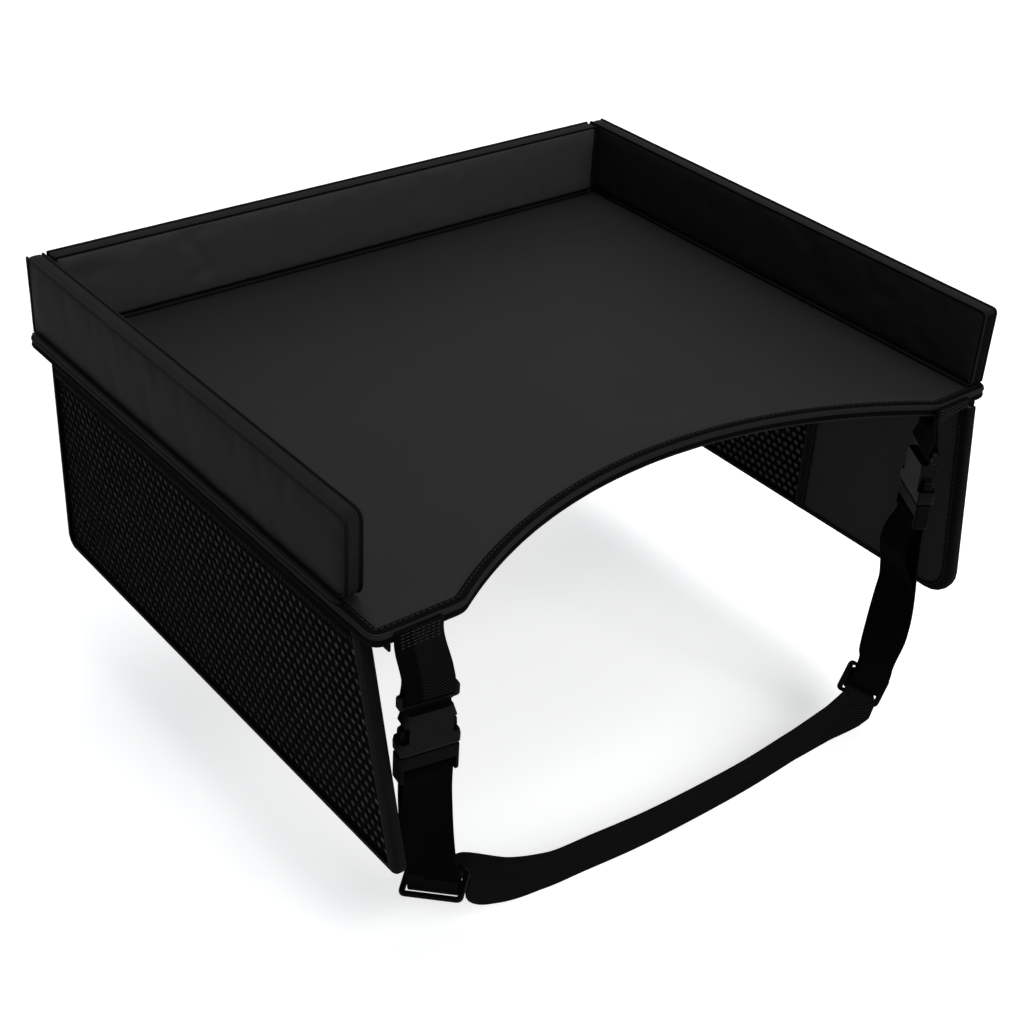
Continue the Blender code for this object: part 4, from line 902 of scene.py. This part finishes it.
PAD_STEP = 0.0042
INNER_SHRINK, OUTER_SHRINK = {"right": -0.055, "back": -0.020, "left": -0.015}, -0.003
SETTLE_FRAMES = 20
pads = {}
for wall in WALLS:
    columns, rows = round((WALLS[wall][1] - WALLS[wall][0]) / PAD_STEP), 10
    for face, out, way in (("outer", WALL_OUT - 0.0005, 1), ("inner", WALL_IN + 0.0005, -1)):
        grid = grid_on(wall, 0.0007, columns, rows, 0.0 if face == "outer" else 0.0014)
        points = [on_wall(wall, along, out, up) for line in grid for along, up in line]
        mesh = bpy.data.meshes.new(f"wall_{wall}_{face}")
        faces = []
        for i in range(columns):
            for j in range(rows):
                n = i * (rows + 1) + j
                faces.append((n, n + rows + 1, n + rows + 2, n + 1))
        mesh.from_pydata(points, [], faces)
        pad = bpy.data.objects.new(f"wall_{wall}_{face}", mesh)
        scene.collection.objects.link(pad)
        outward = (on_wall(wall, 0, way, 0) - on_wall(wall, 0, 0, 0)).normalized()
        if mesh.polygons[0].normal.dot(outward) < 0:
            mesh.flip_normals()
        last = columns * (rows + 1)
        rim = [n for n in range(len(points)) if n % (rows + 1) in (0, rows) or not rows < n < last]
        pad.vertex_groups.new(name="sewn").add(rim, 1.0, "REPLACE")
        for vertex in mesh.vertices:
            along, up = grid[vertex.index // (rows + 1)][vertex.index % (rows + 1)]
            if face == "outer":
                vertex.co += outward * waver((along, up), 0.00010, 45.0, 11.0 * len(pads))
            else:
                near_foot = math.exp(-(((up - 0.0060) / 0.0090) ** 2))
                pull = noise.noise(Vector((along * 170.0, up * 22.0, 8.0 + len(pads)))) * near_foot
                strength = 0.00110 if wall == "right" else 0.00045
                vertex.co += outward * (waver((along, up), 0.00016, 90.0, 5.0) + strength * pull)
        pads[wall, face] = (pad, grid, columns, rows, outward, [v.co.copy() for v in mesh.vertices])
        cloth = pad.modifiers.new("padding", "CLOTH")
        settings = cloth.settings
        settings.quality = 6
        settings.mass = 0.25
        settings.tension_stiffness = 12.0
        settings.compression_stiffness = 12.0
        settings.bending_stiffness = 0.35
        settings.use_pressure = True
        settings.uniform_pressure_force = 3.5
        settings.effector_weights.gravity = 0.0
        settings.vertex_group_mass = "sewn"
        settings.shrink_min = INNER_SHRINK[wall] if face == "inner" else OUTER_SHRINK
        cloth.collision_settings.use_collision = False
for tick in range(1, SETTLE_FRAMES + 1):
    scene.frame_set(tick)
shapes = {}
seen_by = bpy.context.evaluated_depsgraph_get()
for key, kept in pads.items():
    shapes[key] = [v.co.copy() for v in kept[0].evaluated_get(seen_by).data.vertices]
scene.frame_set(1)

CROWN, MOST_SLIDE, PAD_DEPTH = 0.0010, 0.0006, 0.0016
wall_cloth = coated("coated wall cloth", (0.0045,) * 3, (0.0072, 0.0072, 0.0075), 0.00006, 0.64, 0.06)
rolled = coated("rolled wall top", (0.0024,) * 3, (0.0042,) * 3, 0.00006, 0.64, 0.05)
# The wall linings are one coated cloth: the back wall's is painted lighter, as lit from the front, and the
# side walls' darker, as shade.
back_lining_painted_lit = coated("back wall lining painted lit", (0.0175,) * 3, (0.0260, 0.0260, 0.0265), 0.00006, 0.60, 0.10)
side_lining_painted_shade = coated("side wall lining painted in shade", (0.0035,) * 3, (0.0060,) * 3, 0.00006, 0.70, 0.05)
twill = woven(
    "twill boxing strip", (0.0010,) * 3, (0.0190, 0.0190, 0.0195), 0.0017, 0.9, 0.0400, 0.00018, 0.85, 0.05
)
# The right wall's boxing strip: the same twill painted darker, as shade.
twill_painted_shade = woven("twill strip painted in shade", (0.0005,) * 3, (0.0030,) * 3, 0.0017, 0.9, 0.0400, 0.00018, 0.85, 0.02)
welt = coated("welt cloth", (0.0008,) * 3, (0.0020,) * 3, 0.00005, 0.60, 0.05)
for (wall, face), (pad, grid, columns, rows, outward, rest) in pads.items():
    target = shapes[wall, face]
    front = []
    for n, start in enumerate(rest):
        i, j = divmod(n, rows + 1)
        moved = target[n] - start
        swell = min(max(moved.dot(outward), -0.0002), CROWN)
        slide = moved - outward * moved.dot(outward)
        if slide.length > MOST_SLIDE:
            slide *= MOST_SLIDE / slide.length
        front.append(start + outward * swell + slide)
    # Inner faces take the lining painted lit on the back wall and the lining painted in shade on the side
    # walls.
    material = wall_cloth if face == "outer" else back_lining_painted_lit if wall == "back" else side_lining_painted_shade
    bm = bmesh.new()
    laid = bm.loops.layers.uv.new("cloth")
    top_points = [bm.verts.new(p) for p in front]
    rim = [(i, 0) for i in range(columns)] + [(columns, j) for j in range(rows)]
    rim += [(i, rows) for i in range(columns, 0, -1)] + [(0, j) for j in range(rows, 0, -1)]
    for i in range(columns):
        for j in range(rows):
            n = i * (rows + 1) + j
            bm.faces.new([top_points[k] for k in (n, n + rows + 1, n + rows + 2, n + 1)])
    edge_points = [top_points[i * (rows + 1) + j] for i, j in rim]
    deep = [bm.verts.new(p.co - outward * PAD_DEPTH) for p in edge_points]
    for n in range(len(rim)):
        m = (n + 1) % len(rim)
        bm.faces.new((edge_points[n], edge_points[m], deep[m], deep[n]))
    under = {place: point for place, point in zip(rim, deep)}
    for i in range(1, columns - 1):
        bm.faces.new((under[i, 0], under[i + 1, 0], under[i + 1, rows], under[i, rows]))
    for i, beside in ((0, 1), (columns, columns - 1)):
        bm.faces.new([under[i, j] for j in range(rows + 1)] + [under[beside, rows], under[beside, 0]])
    bmesh.ops.recalc_face_normals(bm, faces=bm.faces)
    for f in bm.faces:
        f.smooth = True
        for loop in f.loops:
            co = loop.vert.co
            loop[laid].uv = (co.x if wall == "back" else co.y, co.z)
    mesh = pad.data
    pad.modifiers.clear()
    bm.to_mesh(mesh)
    bm.free()
    pad.vertex_groups.clear()
    mesh.materials.append(material)
    finer = pad.modifiers.new("finer", "SUBSURF")
    finer.levels = finer.render_levels = 1
    bpy.context.view_layer.objects.active = pad
    bpy.ops.object.modifier_apply(modifier="finer")
    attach(pad, f"wall_{wall}")
    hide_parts(f"wall_{wall}_{face}_panel")

WELT = 0.0006
for wall in WALLS:
    section = []
    for centre, first, last in ((WALL_OUT - 0.0003, 0.5, -1.35), (WALL_IN + 0.0003, 1.35, -0.5)):
        for k in range(7):
            a = math.pi * (first + (last - first) * k / 6) * 0.5
            section.append((WELT - WELT * math.cos(a) - 0.0002, centre + WELT * math.sin(a)))
        if centre > -0.005:
            middle = (WALL_OUT + WALL_IN) / 2
            section += [(0.0003, centre - 0.0020), (0.0002, middle), (0.0003, WALL_IN + 0.0023)]
    section += [(0.0013, WALL_IN + 0.0004), (0.0013, WALL_OUT - 0.0004)]
    finish = [1] * 7 + [0] * 2 + [1] * 10
    rims = [wall_rim(wall, inset) for inset, _ in section]
    rows = []
    for n in range(len(rims[0])):
        slip = waver(rims[0][n], 0.00015, 150.0, 4.0)
        column = [rim[n] for rim in rims]
        rows.append([on_wall(wall, p[0], out + slip, p[1]) for p, (_, out) in zip(column, section)])
    marks, across = run_round(rims[0]), run_round(section)
    # The right wall's strip takes the twill painted in shade.
    cloths = [twill_painted_shade if wall == "right" else twill, welt, rolled]
    strip = skin(f"wall_{wall}_strip", rows, marks, across, cloths, joined=True, finish=finish)
    rolled_to = (on_wall(wall, 0, WALL_IN + 0.0016, 0) - on_wall(wall, 0, 0, 0)).length
    for face in strip.data.polygons:
        if face.center.z > 0.0087 + WALL_HEAD - 0.0030 and face.normal.z > 0.3:
            foot = on_wall(wall, 0, 0, 0)
            inward = (face.center - foot).dot(on_wall(wall, 0, -1, 0) - foot)
            face.material_index = 2 if inward < rolled_to else 1
    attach(strip, f"wall_{wall}")
    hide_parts(f"wall_{wall}_binding")
    board = nodes[f"wall_{wall}_board"]
    board.data.materials.clear()
    board.data.materials.append(board_sheet)

    low, high = (-0.1975, 0.1975) if wall == "back" else (WALLS[wall][0] + 0.0010, WALLS[wall][1] - 0.0020)
    full = {"left": 0.0015, "right": 0.0012, "back": 0.0012}[wall]
    steps = round((high - low) / 0.0040)
    turns = [a * math.pi / 5 for a in range(10)]
    rows, marks = [], []
    for k in range(steps + 1):
        along = low + (high - low) * k / steps
        taper = min(1.0, 0.35 + k * 0.45, 0.35 + (steps - k) * 0.45)
        radius = full * taper * (1.0 + waver((along, 0.0), 0.12, 120.0, 2.0))
        bend = [(radius * math.cos(a), radius * math.sin(a)) for a in turns]
        rows.append([on_wall(wall, along, out, up - 0.0001) for out, up in bend])
        marks.append(along)
    cord = skin(f"wall_{wall}_piping", rows, marks, [n * full * math.pi / 5 for n in range(11)], [welt])
    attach(cord, "tray")
    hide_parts(f"wall_{wall}_hinge_piping")


# Corner fasteners
# Hook strips on the back wall's two ends and loop strips inside the side walls' back ends,
# 8 mm wide: thin woven backings with a dense pile, which hold the corners shut.
pile = grained("fastener pile", (0.0070, 0.0070, 0.0073), 2600.0, 0.0006, 0.80, 0.10)
for side in SIDES:
    for kind, body in (("hook", "wall_back"), ("loop", f"wall_{side}")):
        low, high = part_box(f"corner_{kind}_{side}")
        middle = (low + high) / 2
        bpy.ops.mesh.primitive_cube_add(size=1.0, location=middle)
        patch = bpy.context.object
        patch.name = f"corner_{kind}_strip_{side}"
        patch.scale = high - low
        bpy.ops.object.transform_apply(location=True, rotation=True, scale=True)
        rounding = patch.modifiers.new("rounding", "BEVEL")
        rounding.width = 0.00025
        rounding.segments = 2
        bpy.ops.object.modifier_apply(modifier="rounding")
        bpy.ops.object.mode_set(mode="EDIT")
        bpy.ops.mesh.select_all(action="SELECT")
        bpy.ops.mesh.subdivide(number_cuts=3)
        bpy.ops.object.mode_set(mode="OBJECT")
        bpy.ops.object.shade_smooth_by_angle(angle=math.radians(50))
        patch.data.materials.append(pile)
        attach(patch, body)
        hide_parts(f"corner_{kind}_{side}")


# Side flaps
# Cloth panels that hang from the table's sides on a sewn tape. Outside each has a knitted net
# pocket with a hem, inside a net pocket and a plain one with a tape between, and a bound edge.
FLAP_FOOT, FLAP_HEAD, FLAP_BACK, FLAP_FRONT = -0.1211, -0.0009, 0.1515, -0.1778
HEAD_FRONT = {"left": -0.1450, "right": -0.1640}
FLAP_ROUND = {"left": (0.0040, 0.0080), "right": (0.0160, 0.0080)}
SEAM_AT = -0.0580
HOLE_ALONG, HOLE_UP = 0.0054, 0.0049
HOLE_WIDE, HOLE_TALL = 0.00195, 0.00175
HANGER_FRONT = -0.1634


def on_flap(side, along, out, up):
    """A place given along a flap, outwards from its middle and up, as a point of the frame."""
    x = 0.1920 + out
    return Vector((-x if side == "left" else x, along, -0.0034 + up))


def flap_front(side, up):
    """How far forward the flap's leaning front edge stands at a height."""
    share = (up - FLAP_FOOT) / (FLAP_HEAD - FLAP_FOOT)
    return FLAP_FRONT + (HEAD_FRONT[side] - FLAP_FRONT) * share


def rounded(corners, insets, runs):
    """An open outline of (along, up) through corners with radii, each side drawn in by its
    inset and divided into its number of runs."""
    lines = []
    for (here, there), inset in zip(zip(corners, corners[1:]), insets):
        way = Vector((there[0] - here[0], there[1] - here[1])).normalized()
        inward = Vector((-way.y, way.x))
        lines.append((Vector(here[:2]) + inward * inset, way))
    spots = [lines[0][0]]
    for (p, d), (q, e) in zip(lines, lines[1:]):
        spots.append(p + d * ((q - p).cross(e) / d.cross(e)))
    last, way = Vector(corners[-1][:2]), lines[-1][1]
    spots.append(lines[-1][0] + way * (last - lines[-1][0]).dot(way))
    points = [spots[0]]
    for k in range(1, len(spots)):
        bend = [spots[k]]
        if k < len(spots) - 1:
            before, after = lines[k - 1][1], lines[k][1]
            turn = before.angle(after)
            radius = max(corners[k][2] - min(insets[k - 1], insets[k]), 0.0004)
            start = spots[k] - before * radius * math.tan(turn / 2)
            inward = Vector((-before.y, before.x))
            bend = []
            for s in range(7):
                a = turn * s / 6
                bend.append(start + inward * radius * (1 - math.cos(a)) + before * radius * math.sin(a))
        begin = points[-1]
        points += [begin.lerp(bend[0], s / runs[k - 1]) for s in range(1, runs[k - 1])]
        points += bend
    return points


def flap_rim(side, share):
    """The flap's free edge, front to back, drawn in by a share of the binding's width."""
    front, foot = FLAP_ROUND[side]
    corners = [(HEAD_FRONT[side], FLAP_HEAD, 0), (FLAP_FRONT, FLAP_FOOT, front)]
    corners += [(FLAP_BACK, FLAP_FOOT, foot), (FLAP_BACK, FLAP_HEAD, 0)]
    return rounded(corners, [0.0075 * share, 0.0030 * share, 0.0030 * share], [20, 54, 20])


def sag(along, up, amount=0.0008):
    """How the hung cloth bulges and waves out of its flat plane."""
    hang = math.sin(math.pi * (up - FLAP_FOOT) / (FLAP_HEAD - FLAP_FOOT))
    return amount * hang * noise.noise(Vector((along * 22.0, up * 18.0, 5.0)))


def held_in(side, along, up, margin):
    """The point nearest to a given one that lies inside the flap's outline by a margin."""
    up = min(max(up, FLAP_FOOT + margin), FLAP_HEAD + 0.0004)
    along = min(max(along, flap_front(side, up) + margin * 1.04), FLAP_BACK - margin)
    for toward, radius in zip((1, -1), FLAP_ROUND[side]):
        cy = FLAP_FOOT + radius
        cx = flap_front(side, cy) + radius * 1.036 if toward == 1 else FLAP_BACK - radius
        far = math.hypot(along - cx, up - cy)
        if up < cy and (along - cx) * toward < 0 and far > radius - margin:
            share = (radius - margin) / far
            along, up = cx + (along - cx) * share, cy + (up - cy) * share
    return along, up


def slab(name, side, area, out, thick, materials, columns, rows, wave=0.0, lean=True):
    """A thin closed cloth piece on the flap over (from, to) along and (from, to) up."""
    (a0, a1), (v0, v1) = area
    bm = bmesh.new()
    laid = bm.loops.layers.uv.new("cloth")
    points_at = {}
    flat = {}
    for layer, level in ((0, out - thick / 2), (1, out + thick / 2)):
        for i in range(columns + 1):
            for j in range(rows + 1):
                up = v0 + (v1 - v0) * j / rows
                front = max(a0, flap_front(side, up)) if lean else a0
                along = front + (a1 - front) * i / columns
                if lean:
                    along, up = held_in(side, along, up, 0.0009)
                flat[layer, i, j] = (along, up)
                points_at[layer, i, j] = bm.verts.new(on_flap(side, along, level + sag(along, up, wave), up))

    def quad(keys):
        face = bm.faces.new([points_at[k] for k in keys])
        face.smooth = True
        for loop, k in zip(face.loops, keys):
            loop[laid].uv = flat[k]

    for i in range(columns):
        for j in range(rows):
            for layer in (0, 1):
                quad([(layer, i, j), (layer, i + 1, j), (layer, i + 1, j + 1), (layer, i, j + 1)])
    for i in range(columns):
        for j in (0, rows):
            quad([(0, i, j), (0, i + 1, j), (1, i + 1, j), (1, i, j)])
    for j in range(rows):
        for i in (0, columns):
            quad([(0, i, j), (0, i, j + 1), (1, i, j + 1), (1, i, j)])
    bmesh.ops.recalc_face_normals(bm, faces=bm.faces)
    made = set_out(name, bm, materials)
    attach(made, f"flap_{side}")
    return made


def net(name, side, area, out, material, wave):
    """Knitted net: staggered rows of round holes between soft strands, over a part of a flap."""
    (a0, a1), (v0, v1) = area
    bm = bmesh.new()
    laid = bm.loops.layers.uv.new("cloth")
    found = {}

    def spot(along, up):
        key = (round(along * 2e5), round(up * 2e5))
        if key not in found:
            held_along, held_up = held_in(side, min(max(along, a0), a1), min(max(up, v0), v1), 0.0014)
            inside = min(held_along - a0, a1 - held_along, held_up - v0, v1 - held_up)
            lift = 0.0002 * noise.noise(Vector((along * 300, up * 300, 2.0))) if inside > 0.001 else 0.0
            shift = 0.00025 * noise.noise(Vector((along * 90, up * 90, 9.0)))
            level = out + sag(held_along, held_up, wave) + lift
            found[key] = bm.verts.new(on_flap(side, held_along + shift, level, held_up + shift))
        return found[key]

    row, up = 0, v0
    while up < v1 + HOLE_UP / 2:
        along = a0 - HOLE_ALONG + (HOLE_ALONG / 2 if row % 2 else 0.0)
        while along < a1 + HOLE_ALONG:
            if along > flap_front(side, min(max(up, v0), v1)) - HOLE_ALONG:
                rim, hole = [], []
                w, h = HOLE_ALONG / 2, HOLE_UP * 2 / 3
                six = [(0, h), (w, h / 2), (w, -h / 2), (0, -h), (-w, -h / 2), (-w, h / 2)]
                for k, (x, y) in enumerate(six):
                    nx, ny = six[(k + 1) % 6]
                    rim += [(along + x, up + y), (along + (x + nx) / 2, up + (y + ny) / 2)]
                for x, y in rim:
                    dx, dy = x - along, y - up
                    far = math.hypot(dx, dy)
                    hole.append((along + dx / far * HOLE_WIDE, up + dy / far * HOLE_TALL))
                here = [spot(*p) for p in rim]
                there = [spot(*p) for p in hole]
                for k in range(12):
                    m = (k + 1) % 12
                    corners = [here[k], here[m], there[m], there[k]]
                    if len(set(corners)) == 4 and bm.faces.get(corners) is None:
                        face = bm.faces.new(corners)
                        face.smooth = True
                        for loop, at in zip(face.loops, (rim[k], rim[m], hole[m], hole[k])):
                            loop[laid].uv = at
            along += HOLE_ALONG
        row += 1
        up += HOLE_UP
    bmesh.ops.dissolve_degenerate(bm, edges=bm.edges, dist=0.00006)
    flat_faces = [face for face in bm.faces if face.calc_area() < 1e-9]
    bmesh.ops.delete(bm, geom=flat_faces, context="FACES")
    made = set_out(name, bm, [material])
    thicker = made.modifiers.new("strands", "SOLIDIFY")
    thicker.thickness = 0.0004
    thicker.offset = 0.0
    bpy.context.view_layer.objects.active = made
    bpy.ops.object.modifier_apply(modifier="strands")
    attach(made, f"flap_{side}")
    return made


# Flap panel cloth, seen only through the nets' holes: painted far lighter than the black cloth, as light in
# the holes.
flap_cloth_painted_light = coated("flap cloth painted light", (0.0800,) * 3, (0.1250, 0.1250, 0.1260), 0.00008, 0.85, 0.05, 1100.0)
pocket_cloth = coated(
    "inner pocket cloth", (0.0130,) * 3, (0.0210, 0.0210, 0.0215), 0.00008, 0.80, 0.06, 1100.0
)
net_yarn = woven("knitted net", (0.0004,) * 3, (0.0013,) * 3, 0.0007, 1.0, 0.0009, 0.00012, 0.90, 0.02)
binding_tape = woven(
    "flap binding tape", (0.0012,) * 3, (0.0042,) * 3, 0.0010, 0.0, 0.0050, 0.00010, 0.75, 0.04
)
# The net pocket's hem under the table's edge: black tape, painted darker still as the edge's shade.
hem_tape_painted_shade = woven("pocket hem painted in shade", (0.0003,) * 3, (0.0012,) * 3, 0.0010, 0.0, 0.0050, 0.00010, 0.85, 0.015)
for side in SIDES:
    everywhere = ((FLAP_FRONT, FLAP_BACK - 0.0009), (FLAP_FOOT + 0.0009, FLAP_HEAD + 0.0004))
    panel = slab(f"flap_{side}_cloth", side, everywhere, 0.0, 0.0008, [flap_cloth_painted_light], 66, 24, 0.0006)
    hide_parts(f"flap_{side}_panel")
    net_area = ((FLAP_FRONT, FLAP_BACK - 0.0012), (FLAP_FOOT + 0.0012, -0.0075))
    outside = net(f"flap_{side}_net", side, net_area, 0.0013, net_yarn, 0.0006)
    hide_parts(f"flap_{side}_pocket_net")
    hem_area = ((FLAP_FRONT, FLAP_BACK - 0.0012), (-0.0109, FLAP_HEAD))
    hem = slab(f"flap_{side}_hem", side, hem_area, 0.0023, 0.0008, [hem_tape_painted_shade], 66, 4, 0.0)
    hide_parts(f"flap_{side}_pocket_hem")
    mesh_area = ((SEAM_AT, FLAP_BACK - 0.0012), (FLAP_FOOT + 0.0012, FLAP_HEAD - 0.0006))
    inside = net(f"flap_{side}_inner_net", side, mesh_area, -0.0018, net_yarn, 0.0006)
    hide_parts(f"flap_{side}_inner_mesh")
    plain_area = ((FLAP_FRONT, SEAM_AT - 0.0004), (FLAP_FOOT + 0.0009, FLAP_HEAD))
    plain = slab(f"flap_{side}_pocket", side, plain_area, -0.0018, 0.0008, [pocket_cloth], 26, 24, 0.0006)
    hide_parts(f"flap_{side}_inner_panel")
    seam_area = ((SEAM_AT - 0.0035, SEAM_AT + 0.0035), (FLAP_FOOT + 0.0006, FLAP_HEAD))
    seam = slab(f"flap_{side}_seam", side, seam_area, -0.0028, 0.0006, [binding_tape], 4, 24, 0.0006, False)
    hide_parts(f"flap_{side}_seam_tape")
    hanger_area = ((HANGER_FRONT, FLAP_BACK), (-0.0006, 0.0031))
    hanger = slab(f"flap_{side}_hanger", side, hanger_area, 0.0, 0.0010, [binding_tape], 60, 2, 0.0, False)
    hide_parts(f"flap_{side}_hinge_tape")
    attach(hanger, "tray")

    section = [(1.00, 0.0029), (0.85, 0.0031), (0.40, 0.0030), (0.15, 0.0028), (0.03, 0.0020), (0.0, 0.0008)]
    section += [(share, -out) for share, out in reversed(section)]
    section += [(1.00, -0.0025), (0.30, -0.0025), (0.25, 0.0), (0.30, 0.0025), (1.00, 0.0025)]
    rims = [flap_rim(side, share) for share, _ in section]
    levels = [out for _, out in section]
    rows = [[on_flap(side, p.x, out, p.y) for p, out in zip(column, levels)] for column in zip(*rims)]
    marks, across = [0.0], [0.0]
    for here, there in zip(rims[0], rims[0][1:]):
        marks.append(marks[-1] + (there - here).length)
    for here, there in zip(section, section[1:] + section[:1]):
        across.append(across[-1] + math.hypot((there[0] - here[0]) * 0.003, there[1] - here[1]))
    bound = skin(f"flap_{side}_bound_edge", rows, marks, across, [binding_tape])
    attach(bound, f"flap_{side}")
    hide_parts(f"flap_{side}_binding")

    facing = (on_flap(side, 0, 1, 0) - on_flap(side, 0, 0, 0)).normalized()
    lines = []
    for level, toward in ((0.0031, facing), (-0.0031, -facing)):
        free_edge = [p for p in flap_rim(side, 0.75) if p.y < -0.0080]
        lines.append([(on_flap(side, p.x, level, p.y), toward) for p in free_edge])
    for up in (-0.0086, -0.0098):
        start, end = flap_front(side, up) + 0.0085, FLAP_BACK - 0.0040
        lines.append([(on_flap(side, start + (end - start) * k / 60, 0.0027, up), facing) for k in range(61)])
    heights = [FLAP_FOOT + 0.004 + 0.112 * k / 30 for k in range(31)]
    for along in (SEAM_AT - 0.0024, SEAM_AT + 0.0024):
        lines.append([
            (on_flap(side, along, -0.0031 + sag(along, up, 0.0006), up), -facing) for up in heights
        ])
    sewn = stitches(f"flap_{side}_stitches", lines, thread)
    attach(sewn, f"flap_{side}")
